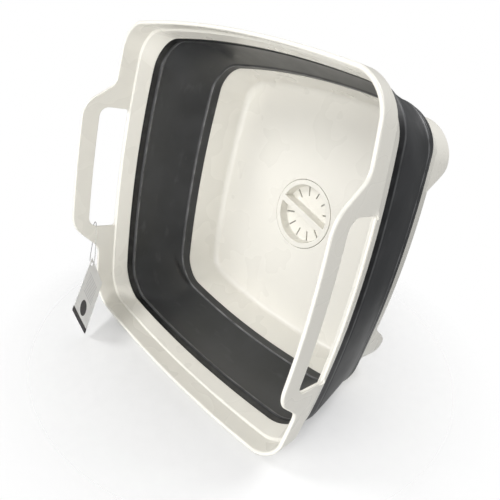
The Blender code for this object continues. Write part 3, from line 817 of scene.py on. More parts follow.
    def mark_painted_light(self, mesh: bpy.types.Mesh) -> None:
        """Write where the wall gets painted shade and where a painted highlight makes its folds pale, point
        by point.

        The painted shade is (z - the upper bead's flank) / the run, or the crease's share times its spread,
        both held between 0 and 1: the band above the upper hinge and the crease are darkened where shade
        falls.
        The painted highlight is the largest of exp(-((z - fold's height) / width) squared).

        Args:
            mesh: The wall's mesh, which gets both attributes.
        """
        points = mesh_points(mesh)
        heights = points[:, 2]
        start = self.upper_bead_z + self.upper_bead_half * self.shade_start_share
        folds = np.array(self.fold_lines)
        away = (heights[:, None] - folds[:, 0]) / folds[:, 1]
        # Painted shade: the band above the upper hinge and the crease, darkened where shade falls.
        band = np.clip((heights - start) / self.shade_run, 0, 1)
        crease = np.clip(self.crease_spread * self.crease_share(points), 0, 1)
        shares = {"painted_shade": np.maximum(band, crease), "fold_highlight": np.exp(-away ** 2).max(axis=1)}
        for name, share in shares.items():
            layer = mesh.attributes.new(name, "FLOAT", "POINT")
            layer.data.foreach_set("value", share.astype(np.float32))

    def dress(self, wall: bpy.types.Object, finish: "SoftRubber") -> None:
        """Give the wall its finish and set it between tray and rim in place of the CAD wall, which is
        hidden.

        Args:
            wall: The finished wall.
            finish: Its finish.
        """
        wall.data.materials.append(finish.material())
        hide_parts("folding_wall")
        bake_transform(wall)


@dataclass(frozen=True)
class DrainSizes:
    """Sizes that the tray's well and the dial share."""

    well_radius: float = 0.0382
    well_wall: float = 0.0026
    seat_top_z: float = 0.0062
    seat_wall: float = 0.0018
    slot_count: int = 12
    slot_inner: float = 0.0197
    slot_outer: float = 0.0307
    slot_width: float = 0.0017
    stem_radius: float = 0.0045
    stem_clearance: float = 0.0004
    turn_deg: float = -16.0
    slot_round_steps: int = 7

    def slot_tools(self, name: str, low_z: float, high_z: float,
                   turn_deg: float) -> list[bpy.types.Object]:
        """Return the cutters of the drain slots, without the two that the bar covers.

        A slot is a rounded rectangle along +X, turned by its index times the pitch.

        Args:
            name: Start of the tools' names.
            low_z: Lower end of the cutters.
            high_z: Upper end of the cutters.
            turn_deg: Turn of the whole ring.

        Returns:
            The cutters.
        """
        half = self.slot_width / 2
        corners = np.array([(self.slot_inner, -half), (self.slot_outer, -half),
                            (self.slot_outer, half), (self.slot_inner, half)])
        outline = soften(corners, np.full(4, half * ROUND_SHARE), self.slot_round_steps)
        heights = np.array([low_z, high_z])
        tools = []
        for index in range(self.slot_count):
            if index % (self.slot_count // 2) == 0:
                continue
            turned = turn_outline(outline, turn_deg + index * 360 / self.slot_count)
            grid = stacked_grid(np.stack([turned, turned]), heights)
            tools.append(grid_piece(f"{name}_{index}", grid, False))
        return tools


def turn_outline(outline: np.ndarray, degrees: float) -> np.ndarray:
    """Return points of (x, y) turned about the origin by an angle."""
    cos, sin = math.cos(math.radians(degrees)), math.sin(math.radians(degrees))
    return outline @ np.array([[cos, sin], [-sin, cos]])


@dataclass
class BaseTray:
    """The hard tray: floor, round foot, sloped wall, corner feet and the drain well with its seat."""

    form: BasinForm
    drain: DrainSizes
    foot_wall: float = 0.0048
    foot_half: float = 0.1235
    foot_corner: float = 0.0285
    foot_flat_half: float = 0.0930
    foot_tail_half: float = 0.0620
    foot_tail_z: float = 0.0330
    foot_top_z: float = 0.0360
    foot_round: float = 0.0012
    edge_round: float = 0.0006
    foot_longest_side: float = 0.0040
    corner_steps: int = 18
    side_points: int = 73
    fillet_steps: int = 14
    round_steps: int = 6
    flare_steps: int = 7
    turn_steps: int = 144
    bore_steps: int = 64

    def places(self) -> Stations:
        """Return the places of the tray's rings."""
        return Stations.even(self.corner_steps, self.side_points)

    def block(self) -> bpy.types.Object:
        """Build the tray as a solid block: round foot, sloped wall and the tongue's outer side.

        Returns:
            The block, without feet, mouth or well.
        """
        form = self.form
        tongue_z = form.tray_edge_z + form.tongue_height
        rows = form.rows([(form.tray_wall, form.tray_edge_z),
                          (form.tray_wall - form.tongue_inset, form.tray_edge_z),
                          (form.tray_wall - form.tongue_inset, tongue_z),
                          (form.tongue_inset, tongue_z)])
        foot = self.tray_rings(form.tray_wall)
        rings = np.concatenate([foot, form_rings(form, self.places(), rows)])
        return grid_piece("tray_moulding", rings, False)

    def cavity(self) -> bpy.types.Object:
        """Return the cutter of the tray's inside, up past the tongue.

        Returns:
            The cutter.
        """
        form = self.form
        rows = form.rows([(0, form.tray_edge_z), (form.tongue_inset, form.tray_edge_z),
                          (form.tongue_inset, form.tray_edge_z + form.tongue_height + OVERRUN)])
        rings = np.concatenate([self.tray_rings(0), form_rings(form, self.places(), rows)])
        return grid_piece("tray_cavity", rings, False)

    def tray_rings(self, outside: float) -> np.ndarray:
        """Return rings of the tray's round foot, whose corners tighten towards the floor.

        Args:
            outside: How far outside the inside form the foot lies.

        Returns:
            Points, shape (rows, places, 3).
        """
        form = self.form
        section = form.fillet_arc(outside, self.fillet_steps)
        corner = np.interp(section[:, 0] - outside, [form.floor_half, form.tray_edge_half],
                           [form.floor_corner, form.tray_edge_corner]) + outside
        return self.places().rings(section[:, 0], corner, form.tray_bow, section[:, 1])

    def feet(self) -> bpy.types.Object:
        """Build the foot skirt: four corner feet whose lower edges sweep up along the sides.

        The lower edge rises by tail height times the smoothstep of the way from the foot's flat
        end to the middle of the side.

        Returns:
            The skirt, a closed ring.
        """
        corners = np.array([(self.foot_half, 0), (self.foot_half, self.foot_top_z),
                            (self.foot_half - self.foot_wall, self.foot_top_z),
                            (self.foot_half - self.foot_wall, 0)])
        radii = np.array([self.foot_round, GAP, GAP, self.foot_round])
        section = refine(soften(corners, radii, self.round_steps), self.foot_longest_side)
        half, z = section[:, 0], section[:, 1]
        corner = self.foot_corner + half - self.foot_half
        grid = self.places().rings(half, corner, self.form.tray_bow, z)
        along = np.minimum(np.abs(grid[..., 0]), np.abs(grid[..., 1]))
        share = np.clip((self.foot_flat_half - along) / (self.foot_flat_half - self.foot_tail_half), 0, 1)
        rise = self.foot_tail_z * smoothstep(share)
        grid[..., 2] = rise + grid[..., 2] * (self.foot_top_z - rise) / self.foot_top_z
        return grid_piece("foot_skirt", grid, True)

    def well(self) -> bpy.types.Object:
        """Return the well's cutter, flared in a quarter round where it meets the floor.

        Returns:
            The cutter.
        """
        drain, form, edge = self.drain, self.form, self.edge_round
        grow, sink = quarter_round(self.flare_steps)
        flare = np.stack([drain.well_radius + edge * grow, form.floor_z - edge * sink], axis=1)
        ends = np.array([(drain.well_radius, drain.seat_top_z),
                         (drain.well_radius + edge, form.floor_z + OVERRUN)])
        profile = np.concatenate([ends[:1], flare, ends[1:]])
        return grid_piece("drain_well", turned_grid(profile, self.turn_steps), False)

    def build(self) -> bpy.types.Object:
        """Build the tray, add feet and boss, and cut cavity, well, bore and the seat's slots.

        The seat's slots lie half a pitch from the dial's, so that they meet when the dial is open.

        Returns:
            The tray.
        """
        drain, floor_z = self.drain, self.form.floor_z
        tray = self.block()
        seat_low = drain.seat_top_z - drain.seat_wall
        boss_radius = drain.well_radius + drain.well_wall
        hole = drain.stem_radius + drain.stem_clearance
        boss = np.array([(boss_radius, seat_low), (boss_radius, floor_z - self.form.tray_wall / 2)])
        bore = np.array([(hole, seat_low - OVERRUN), (hole, drain.seat_top_z + OVERRUN)])
        added = [self.feet(), grid_piece("drain_boss", turned_grid(boss, self.turn_steps), False)]
        combine(tray, added, Cut.ADD)
        for tool in (self.cavity, self.well):
            combine(tray, [tool()], Cut.REMOVE)
        tools = drain.slot_tools("seat_slot", seat_low - OVERRUN, drain.seat_top_z + OVERRUN,
                                 drain.turn_deg + 180 / drain.slot_count)
        tools.append(grid_piece("stem_bore", turned_grid(bore, self.bore_steps), False))
        combine(tray, tools, Cut.REMOVE)
        bake(tray)
        return tray

    def dress(self, tray: bpy.types.Object, finish: "CreamPlastic") -> None:
        """Give the tray its finish and let it stand for the CAD tray.

        Args:
            tray: The finished tray.
            finish: Its finish.
        """
        tray.data.materials.append(finish.material())
        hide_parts("base_tray")
        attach(tray, "base")


@dataclass
class DrainDial:
    """The twist dial: two deep finger pockets, the grip bar between them, slots and stem."""

    form: BasinForm
    drain: DrainSizes
    radius: float = 0.0377
    proud: float = 0.0004
    floor: float = 0.0015
    edge: float = 0.0006
    pocket_radius: float = 0.0321
    pocket_depth: float = 0.0110
    pocket_draft: float = 0.0010
    pocket_fillet: float = 0.0012
    pocket_edge: float = 0.0007
    bar_width: float = 0.0070
    ring_groove_depth: float = 0.0019
    ring_groove_half: float = 0.0014
    ring_groove_z: float = 0.01395
    screw_bore: float = 0.0014
    screw_length: float = 0.0090
    bed_overrun: float = 0.0010
    core: float = 0.0001
    core_round: float = 0.000005
    longest_side: float = 0.0040
    round_steps: int = 6
    turn_steps: int = 144
    screw_steps: int = 32
    arc_points: int = 64
    chord_points: int = 26
    flare_steps: int = 6
    foot_steps: int = 7

    def top_z(self) -> float:
        """Return the height of the dial's face."""
        return self.form.floor_z + self.proud

    def body(self) -> bpy.types.Object:
        """Build the turned blank with its seal groove and stem, open by a hair along its axis.

        Returns:
            The blank, without pockets, slots or bore.
        """
        drain, top = self.drain, self.top_z()
        low = top - self.pocket_depth - self.floor
        stem_z = drain.seat_top_z - drain.seat_wall
        groove = self.radius - self.ring_groove_depth
        low_groove, high_groove = (self.ring_groove_z + way * self.ring_groove_half for way in (-1, 1))
        corners = np.array([
            (self.core, stem_z, self.core_round), (drain.stem_radius, stem_z, GAP),
            (drain.stem_radius, low, GAP), (self.radius, low, GAP), (self.radius, low_groove, GAP),
            (groove, low_groove, GAP), (groove, high_groove, GAP), (self.radius, high_groove, GAP),
            (self.radius, top, self.edge), (self.core, top, self.core_round)])
        profile = refine(soften(corners[:, :2], corners[:, 2], self.round_steps), self.longest_side)
        on_axis = profile[:, 0] <= self.core
        profile = np.roll(profile[~on_axis], -self.first_after(on_axis), axis=0)
        return grid_piece("dial_moulding", turned_grid(profile, self.turn_steps), False)

    def first_after(self, on_axis: np.ndarray) -> int:
        """Return how many points off the axis come before its last one, or 0 if the list starts on it."""
        return 0 if on_axis[0] else int(np.count_nonzero(~on_axis[:np.flatnonzero(on_axis)[-1]]))

    def half_moon(self, growth: np.ndarray) -> np.ndarray:
        """Return half-moon outlines, grown outwards by each amount: an arc closed by a chord.

        Args:
            growth: The growths, shape (rows,).

        Returns:
            Points of (x, y), shape (rows, n, 2).
        """
        radius = self.pocket_radius + growth[:, None]
        flat = self.bar_width / 2 - growth[:, None]
        reach = np.arcsin(flat / radius)
        angles = reach + (math.pi - 2 * reach) * np.linspace(0, 1, self.arc_points)
        arc = np.stack([radius * np.cos(angles), radius * np.sin(angles)], axis=2)
        chord_x = -np.cos(reach) * radius * (1 - 2 * np.linspace(0, 1, self.chord_points)[1:-1])
        chord = np.stack([chord_x, flat + 0 * chord_x], axis=2)
        return np.concatenate([arc, chord], axis=1)

    def pocket_tool(self, name: str, turn_deg: float) -> bpy.types.Object:
        """Return a pocket's cutter: flared round at the face, drafted walls and a round foot.

        Args:
            name: The cutter's name.
            turn_deg: Its turn about the dial's axis.

        Returns:
            The cutter, whose rows are half moons from the face down.
        """
        top = self.top_z()
        flare_down, flare_out = quarter_round(self.flare_steps)
        foot_in, foot_up = quarter_round(self.foot_steps)
        growth = np.concatenate([
            [self.pocket_edge], self.pocket_edge * flare_out,
            -self.pocket_draft - self.pocket_fillet * foot_in])
        height = np.concatenate([
            [top + OVERRUN], top - self.pocket_edge * flare_down,
            top - self.pocket_depth + self.pocket_fillet * foot_up])
        outlines = turn_outline(self.half_moon(growth), turn_deg)
        return grid_piece(name, stacked_grid(outlines, height), False)

    def build(self) -> bpy.types.Object:
        """Build the dial, cut both pockets, the slots and the screw's bore.

        Returns:
            The dial.
        """
        drain, top = self.drain, self.top_z()
        dial = self.body()
        turns = (("upper_pocket", drain.turn_deg), ("lower_pocket", drain.turn_deg + 180))
        combine(dial, [self.pocket_tool(name, turn) for name, turn in turns], Cut.REMOVE)
        bed = top - self.pocket_depth
        tools = drain.slot_tools("dial_slot", bed - self.floor - self.bed_overrun,
                                 bed + self.bed_overrun, drain.turn_deg)
        stem_z = drain.seat_top_z - drain.seat_wall
        bore = np.array([(self.screw_bore, stem_z - OVERRUN),
                         (self.screw_bore, stem_z + self.screw_length + GAP)])
        tools.append(grid_piece("screw_bore", turned_grid(bore, self.screw_steps), False))
        combine(dial, tools, Cut.REMOVE)
        bake(dial)
        return dial

    def dress(self, dial: bpy.types.Object, finish: "CreamPlastic") -> None:
        """Give the dial its finish and let it turn in place of the CAD dial.

        Args:
            dial: The finished dial.
            finish: Its finish.
        """
        dial.data.materials.append(finish.material())
        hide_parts("drain_dial")
        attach(dial, "dial")


@dataclass
class TagAndLoop:
    """The white card at the left handle and the thin clear loop that holds it."""

    rim: RimFrame
    width: float = 0.0460
    length: float = 0.0690
    wall: float = 0.0006
    corner: float = 0.0012
    hole: float = 0.0026
    hole_inset: float = 0.0050
    curl: float = 0.0004
    across: Triple = (-0.205, -0.867, -0.455)
    along: Triple = (-0.670, 0.462, -0.580)
    hole_place: Triple = (-0.1327, -0.09958, 0.1900)
    loop_radius: float = 0.0004
    stand_off: float = 0.0026
    longest_side: float = 0.0025
    corner_steps: int = 8
    face_rows: int = 22
    face_power: float = 1.3
    curve_steps: int = 18
    tube_points: int = 14
    leg_points: tuple[Triple, ...] = (
        (-0.0012, -0.0612, 0.1770), (-0.0050, -0.0672, 0.1768),
        (-0.0038, -0.0890, 0.1768), (0.0034, -0.0672, 0.1778))

    def axes(self) -> np.ndarray:
        """Return the card's across, along and normal ways as rows.

        Returns:
            Three unit rows, shape (3, 3).
        """
        across = unit(np.array(self.across))
        along = np.array(self.along)
        along = unit(along - across * across.dot(along))
        return np.stack([across, along, np.cross(across, along)])

    def card(self) -> bpy.types.Object:
        """Build the card as a closed grid whose columns go round its hole and its outline.

        A point is the hole's edge times (1 - share) plus the outline times share, on the upper face
        for shares up and on the lower face for shares back. The card curls by a square of across.

        Returns:
            The card, with its map.
        """
        half = np.array([self.width, self.length]) / 2
        corners = half * np.array([(1, -1), (1, 1), (-1, 1), (-1, -1)])
        radii = np.full(4, self.corner)
        outline = refine(soften(corners, radii, self.corner_steps), self.longest_side)
        hole_middle = np.array([self.hole_inset - half[0], half[1] - self.hole_inset])
        rim = hole_middle + unit(outline - hole_middle) * self.hole
        shares = np.linspace(0, 1, self.face_rows) ** self.face_power
        share = np.concatenate([shares, shares[::-1]])[:, None, None]
        flat = rim * (1 - share) + outline * share
        side = np.repeat([self.wall / 2, -self.wall / 2], len(shares))[:, None]
        bend = self.curl * ((flat[..., 0] - hole_middle[0]) / self.width) ** 2
        local = np.concatenate([flat - hole_middle, (side + bend)[..., None]], axis=2)
        grid = local @ self.axes() + np.array(self.hole_place)
        card = grid_piece("tag_card", grid, True)
        self.map_card(card, half)
        return card

    def map_card(self, card: bpy.types.Object, half: np.ndarray) -> None:
        """Write the card's map: u runs across and v along, both from 0 to 1 over the card.

        Args:
            card: The card, which gets the map.
            half: Half its width and half its length.
        """
        mesh = card.data
        local = (mesh_points(mesh) - np.array(self.hole_place)) @ self.axes().T
        middle = np.array([self.hole_inset - half[0], half[1] - self.hole_inset])
        shares = (local[:, :2] + middle + half) / (2 * half)
        corners = np.empty(len(mesh.loops), dtype=np.int64)
        mesh.loops.foreach_get("vertex_index", corners)
        layer = mesh.uv_layers.new(name="card")
        layer.data.foreach_set("uv", shares[corners].astype(np.float32).ravel())

    def loop_path(self) -> np.ndarray:
        """Return the points that the loop passes: round the handle's leg and through the hole.

        Returns:
            The points in order round the loop, shape (7, 3).
        """
        form = self.rim.form
        middle_y = -(self.rim.slot_half + self.rim.shoulder_half) / 2
        middle = float(form.half(form.lip_z)) + form.flange_wall / 2
        bow = float(form.bows(form.lip_z)[0])
        leg = np.array([-middle * (1 + bow / middle * (1 - (middle_y / middle) ** 2)), 0, 0])
        slot_end, outer_slot, outer_edge, inner_slot = leg + np.array(self.leg_points)
        hole, normal = np.array(self.hole_place), self.axes()[2]
        pull = slot_end - hole
        pull = unit(pull - normal * pull.dot(normal))
        seat = hole + pull * (self.hole - self.loop_radius - GAP)
        below = seat + (pull - normal) * self.stand_off
        above = seat + (pull + normal) * self.stand_off
        return np.array([slot_end, outer_slot, outer_edge, below, seat, above, inner_slot])

    def loop(self) -> bpy.types.Object:
        """Build the loop as a tube along a closed curve.

        Between two points the curve is a cubic whose end slopes are half the way between the
        points' neighbours. The tube is a circle across the curve's own way.

        Returns:
            The loop, a closed tube.
        """
        points = self.loop_path()
        after = np.roll(points, -1, axis=0)
        slopes = (after - np.roll(points, 1, axis=0)) / 2
        share = (np.arange(self.curve_steps) / self.curve_steps)[None, :, None]
        ease = smoothstep(share)
        leave, arrive = share * (1 - share) ** 2, share * share * (share - 1)
        path = (points[:, None] * (1 - ease) + after[:, None] * ease + slopes[:, None] * leave
                + np.roll(slopes, -1, axis=0)[:, None] * arrive).reshape(-1, 3)
        way = unit(np.roll(path, -1, axis=0) - np.roll(path, 1, axis=0))
        side = unit(np.cross(way, self.axes()[1]))
        lift = np.cross(side, way)
        turn = np.linspace(0, 2 * math.pi, self.tube_points, endpoint=False)[None, :, None]
        circle = np.cos(turn) * side[:, None] + np.sin(turn) * lift[:, None]
        grid = path[:, None] + self.loop_radius * circle
        return grid_piece("tag_string", grid, True)

    def dress(self, card: bpy.types.Object, loop: bpy.types.Object, paper: "PrintedCard",
              clear: "ClearPlastic") -> None:
        """Give card and loop their finishes and let them ride in place of the CAD pieces.

        Args:
            card: The finished card.
            loop: The finished loop.
            paper: The card's finish.
            clear: The loop's finish.
        """
        card.data.materials.append(paper.material())
        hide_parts("hang_tag")
        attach(card, "tag")
        loop.data.materials.append(clear.material())
        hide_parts("tag_loop")
        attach(loop, "rim")


@dataclass
class SmallParts:
    """The drain's small CAD pieces, whose shapes are right and which only get a finish."""

    rubber: tuple[str, ...] = ("dial_seal_ring", "drain_gasket")
    metal: tuple[str, ...] = ("retaining_washer", "retaining_screw")

    def dress(self, seal: "SealRubber", steel: "PlainSteel") -> None:
        """Put the seal's and the steel's finish on the CAD pieces.

        Args:
            seal: The finish of ring and gasket.
            steel: The finish of washer and screw.
        """
        for names, finish in ((self.rubber, seal), (self.metal, steel)):
            material = finish.material()
            for name in names:
                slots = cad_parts[name].data.materials
                slots.clear()
                slots.append(material)


Socket = bpy.types.NodeSocket
Feed = Socket | float | tuple[float, ...]
Constant = tuple[str, float | Triple]
Layer = tuple[Socket, float, float]
BLACK: Triple = (0.0, 0.0, 0.0)
WHITE: Triple = (1.0, 1.0, 1.0)


@dataclass(frozen=True)
class Mottle:
    """A noise of some cells to the metre, and the run of its values over which a change takes place."""

    per_m: float
    detail: float
    low: float = 0.3
    high: float = 0.7
    stretch: Triple = (1.0, 1.0, 1.0)


@dataclass(frozen=True)
class Grain:
    """A bump layer: a mottle's noise as heights, with a strength and a depth in metres."""

    mottle: Mottle
    strength: float
    depth: float


class NodeBoard:
    """A material's nodes, laid out and linked by short calls."""

    def __init__(self, name: str) -> None:
        """Start a material with one Principled shader and Object coordinates.

        Args:
            name: The material's name.
        """
        self.made = bpy.data.materials.new(name)
        self.made.use_nodes = True
        self.tree = self.made.node_tree
        self.shader = self.tree.nodes["Principled BSDF"]
        self.place = self.node("ShaderNodeTexCoord").outputs["Object"]

    def feed(self, value: Feed, target: Socket) -> None:
        """Link a socket to an input, or set the input to a constant.

        Args:
            value: A socket or a constant.
            target: The input.
        """
        if isinstance(value, Socket):
            self.tree.links.new(value, target)
        else:
            target.default_value = value

    def node(self, kind: str, feeds: dict[str | int, Feed] | None = None,
             **settings: str) -> bpy.types.Node:
        """Add a node.

        Args:
            kind: The node's type.
            feeds: Sockets or constants for its inputs, by name or number.
            **settings: Its other settings.

        Returns:
            The node.
        """
        made = self.tree.nodes.new(kind)
        for key, value in settings.items():
            setattr(made, key, value)
        for key, value in (feeds or {}).items():
            self.feed(value, made.inputs[key])
        return made

    def math(self, operation: str, *values: Socket | float) -> Socket:
        """Return the result of a sum on values."""
        return self.node("ShaderNodeMath", dict(enumerate(values)), operation=operation).outputs[0]

    def noise(self, mottle: Mottle) -> Socket:
        """Return the value of a mottle's noise.

        Args:
            mottle: Its cells to the metre, detail and stretch.

        Returns:
            The noise, mostly from 0.3 to 0.7.
        """
        place = self.node("ShaderNodeMapping", {"Vector": self.place, "Scale": mottle.stretch})
        return self.node("ShaderNodeTexNoise", {
            "Vector": place.outputs["Vector"], "Scale": mottle.per_m, "Detail": mottle.detail,
        }).outputs["Fac"]

    def ramp(self, value: Socket, low: float, high: float, first: Triple, last: Triple) -> Socket:
        """Return a colour that runs from first to last while the value runs from low to high.

        Args:
            value: What the colour follows.
            low: Where it starts to change.
            high: Where it has changed.
            first: The colour up to low.
            last: The colour from high.

        Returns:
            The colour.
        """
        ramp = self.node("ShaderNodeValToRGB", {"Fac": value})
        for element, place, colour in zip(ramp.color_ramp.elements, (low, high), (first, last)):
            element.position = place
            element.color = (*colour, 1)
        return ramp.outputs["Color"]

    def blot(self, mottle: Mottle, first: Triple, last: Triple) -> Socket:
        """Return a colour that runs from first to last over a mottle's values."""
        return self.ramp(self.noise(mottle), mottle.low, mottle.high, first, last)

    def span(self, value: Socket, low: float, high: float, first: float, last: float) -> Socket:
        """Return a value that runs from first to last while another runs from low to high.

        Args:
            value: What the result follows.
            low: Where it starts to change.
            high: Where it has changed.
            first: The result up to low.
            last: The result from high.

        Returns:
            The result.
        """
        return self.node("ShaderNodeMapRange", {
            "Value": value, "From Min": low, "From Max": high, "To Min": first, "To Max": last,
        }).outputs["Result"]

    def mix(self, factor: Socket, first: Feed, second: Feed) -> Socket:
        """Return two colours mixed by a factor."""
        return self.node("ShaderNodeMix", {0: factor, 6: first, 7: second}, data_type="RGBA").outputs[2]

    def surface(self, feeds: dict[str, Feed]) -> bpy.types.Material:
        """Put sockets and constants on the shader's inputs and return the material.

        Args:
            feeds: What goes into the shader's inputs, by name.

        Returns:
            The material.
        """
        for name, value in feeds.items():
            self.feed(value, self.shader.inputs[name])
        return self.made

    def relief(self, layers: list[Layer]) -> Socket:
        """Return the normal of stacked bump layers, each a height, a strength and a depth in metres.

        Args:
            layers: The layers, the lowest first.

        Returns:
            The normal.
        """
        below = {}
        for height, strength, depth in layers:
            feeds = {"Height": height, "Strength": strength, "Distance": depth}
            below = {"Normal": self.node("ShaderNodeBump", feeds | below).outputs["Normal"]}
        return below["Normal"]


@dataclass(frozen=True)
class Finish:
    """What every finish has: a colour mottled from dark to light, a sheen that varies, and grain."""

    name: str
    dark: Triple
    light: Triple
    mottle: Mottle
    roughness: Pair
    sheen: Mottle
    grains: tuple[Grain, ...]
    constants: tuple[Constant, ...] = ()

    def colour(self, board: NodeBoard) -> Socket:
        """Return the base colour."""
        return board.blot(self.mottle, self.dark, self.light)

    def layers(self, board: NodeBoard) -> list[Layer]:
        """Return the bump layers: height, strength and depth."""
        return [(board.noise(grain.mottle), grain.strength, grain.depth) for grain in self.grains]

    def material(self) -> bpy.types.Material:
        """Return the finish as a material.

        Returns:
            The material, with its colour, sheen, relief and constants.
        """
        board = NodeBoard(self.name)
        sheen = board.span(board.noise(self.sheen), self.sheen.low, self.sheen.high, *self.roughness)
        return board.surface({"Base Color": self.colour(board), "Roughness": sheen,
                              "Normal": board.relief(self.layers(board)), **dict(self.constants)})


@dataclass(frozen=True)
class CreamPlastic(Finish):
    """Satin cream polypropylene: faint mottling, a fine moulded grain and a painted highlight that makes
    convex edges lighter.
    """

    name: str = "cream_plastic"
    dark: Triple = (0.823, 0.801, 0.734)
    light: Triple = (0.833, 0.812, 0.746)
    # Colour of the painted highlight on convex edges.
    edge: Triple = (0.880, 0.865, 0.810)
    mottle: Mottle = Mottle(14, 1, 0.35, 0.65)
    # Noise that varies the painted edge highlight, and the pointiness run over which it comes in.
    highlight_mottle: Mottle = Mottle(240, 2, 0.4, 0.6)
    highlight_pointiness: Pair = (0.56, 0.66)
    roughness: Pair = (0.26, 0.30)
    sheen: Mottle = Mottle(30, 1)
    grains: tuple[Grain, ...] = (Grain(Mottle(2600, 2), 0.05, 0.00006),)
    constants: tuple[Constant, ...] = (("Specular IOR Level", 0.5), ("IOR", 1.49))

    def colour(self, board: NodeBoard) -> Socket:
        """Return the mottled cream, with a painted highlight where the surface comes to a point.

        Args:
            board: The material's nodes.

        Returns:
            The colour.
        """
        # Pointiness picks out convex edges, where a painted highlight lightens the cream.
        point = board.node("ShaderNodeNewGeometry").outputs["Pointiness"]
        return board.mix(board.ramp(point, *self.highlight_pointiness, BLACK, WHITE), super().colour(board),
                         board.blot(self.highlight_mottle, self.edge, self.light))


@dataclass(frozen=True)
class SoftRubber(Finish):
    """Charcoal thermoplastic rubber: matt, finely grained, with faint handling marks, painted shade in the
    upper band and crease, and painted highlights along the folds.
    """

    name: str = "charcoal_rubber"
    dark: Triple = (0.028, 0.029, 0.030)
    light: Triple = (0.039, 0.040, 0.042)
    marks: Triple = (0.056, 0.057, 0.058)
    # Near black painted shade for the upper band and the crease, then the pale painted highlight for the
    # folds.
    painted_shade: Triple = (0.006, 0.006, 0.007)
    fold_highlight: Triple = (0.290, 0.291, 0.296)
    mottle: Mottle = Mottle(22, 4, 0.35, 0.65)
    smear: Mottle = Mottle(34, 6, 0.60, 0.72, (1, 1, 2.6))
    wear: Mottle = Mottle(90, 3)
    # Noise that blotches the painted shade, then the noise that varies the painted fold highlight.
    shade_blotch: Mottle = Mottle(120, 2, 0.45, 0.9)
    highlight_mottle: Mottle = Mottle(70, 3)
    roughness: Pair = (0.34, 0.42)
    sheen: Mottle = Mottle(45, 4)
    grains: tuple[Grain, ...] = (Grain(Mottle(2200, 2), 0.08, 0.00008), Grain(Mottle(30, 3), 0.10, 0.0009))
    constants: tuple[Constant, ...] = (("Specular IOR Level", 0.5),)

    def colour(self, board: NodeBoard) -> Socket:
        """Return the panel with its smears, then painted shade in the upper band and crease, then painted
        highlights that make the folds pale.

        Args:
            board: The material's nodes.

        Returns:
            The colour.
        """
        band, fold = (board.node("ShaderNodeAttribute", attribute_name=name).outputs["Fac"]
                      for name in ("painted_shade", "fold_highlight"))
        panel = board.mix(board.blot(self.smear, BLACK, WHITE), super().colour(board),
                          board.blot(self.wear, self.light, self.marks))
        # Painted shade in the upper band and the crease.
        panel = board.mix(band, panel, board.blot(self.shade_blotch, self.painted_shade, self.dark))
        # Painted highlight that makes the folds pale.
        return board.mix(fold, panel, board.blot(self.highlight_mottle, self.marks, self.fold_highlight))


@dataclass(frozen=True)
class SealRubber(Finish):
    """Matt grey silicone with a dusty grain."""

    name: str = "seal_rubber"
    dark: Triple = (0.290, 0.280, 0.250)
    light: Triple = (0.370, 0.360, 0.325)
    mottle: Mottle = Mottle(160, 4, 0.35, 0.65)
    roughness: Pair = (0.55, 0.70)
    sheen: Mottle = Mottle(300, 2)
    grains: tuple[Grain, ...] = (Grain(Mottle(3000, 2), 0.2, 0.00006),)


@dataclass(frozen=True)
class PlainSteel(Finish):
    """Turned stainless steel with fine concentric marks, whose grain is the rings themselves."""

    name: str = "screw_steel"
    dark: Triple = (0.52, 0.52, 0.51)
    light: Triple = (0.66, 0.66, 0.65)
    mottle: Mottle = Mottle(900, 0, 0.2, 0.8)
    distortion: float = 1.5
    roughness: Pair = (0.24, 0.36)
    sheen: Mottle = Mottle(700, 2)
    grains: tuple[Grain, ...] = ()
    ring_strength: float = 0.08
    ring_depth: float = 0.00003
    constants: tuple[Constant, ...] = (("Metallic", 1.0),)

    def rings(self, board: NodeBoard) -> Socket:
        """Return the value of a wave in rings about Z."""
        feeds = {"Vector": board.place, "Scale": self.mottle.per_m, "Distortion": self.distortion}
        return board.node("ShaderNodeTexWave", feeds, wave_type="RINGS", rings_direction="Z").outputs["Fac"]

    def colour(self, board: NodeBoard) -> Socket:
        """Return steel that is lighter on the rings."""
        return board.ramp(self.rings(board), self.mottle.low, self.mottle.high, self.dark, self.light)

    def layers(self, board: NodeBoard) -> list[Layer]:
        """Return the one bump layer, the rings."""
        return [(self.rings(board), self.ring_strength, self.ring_depth)]


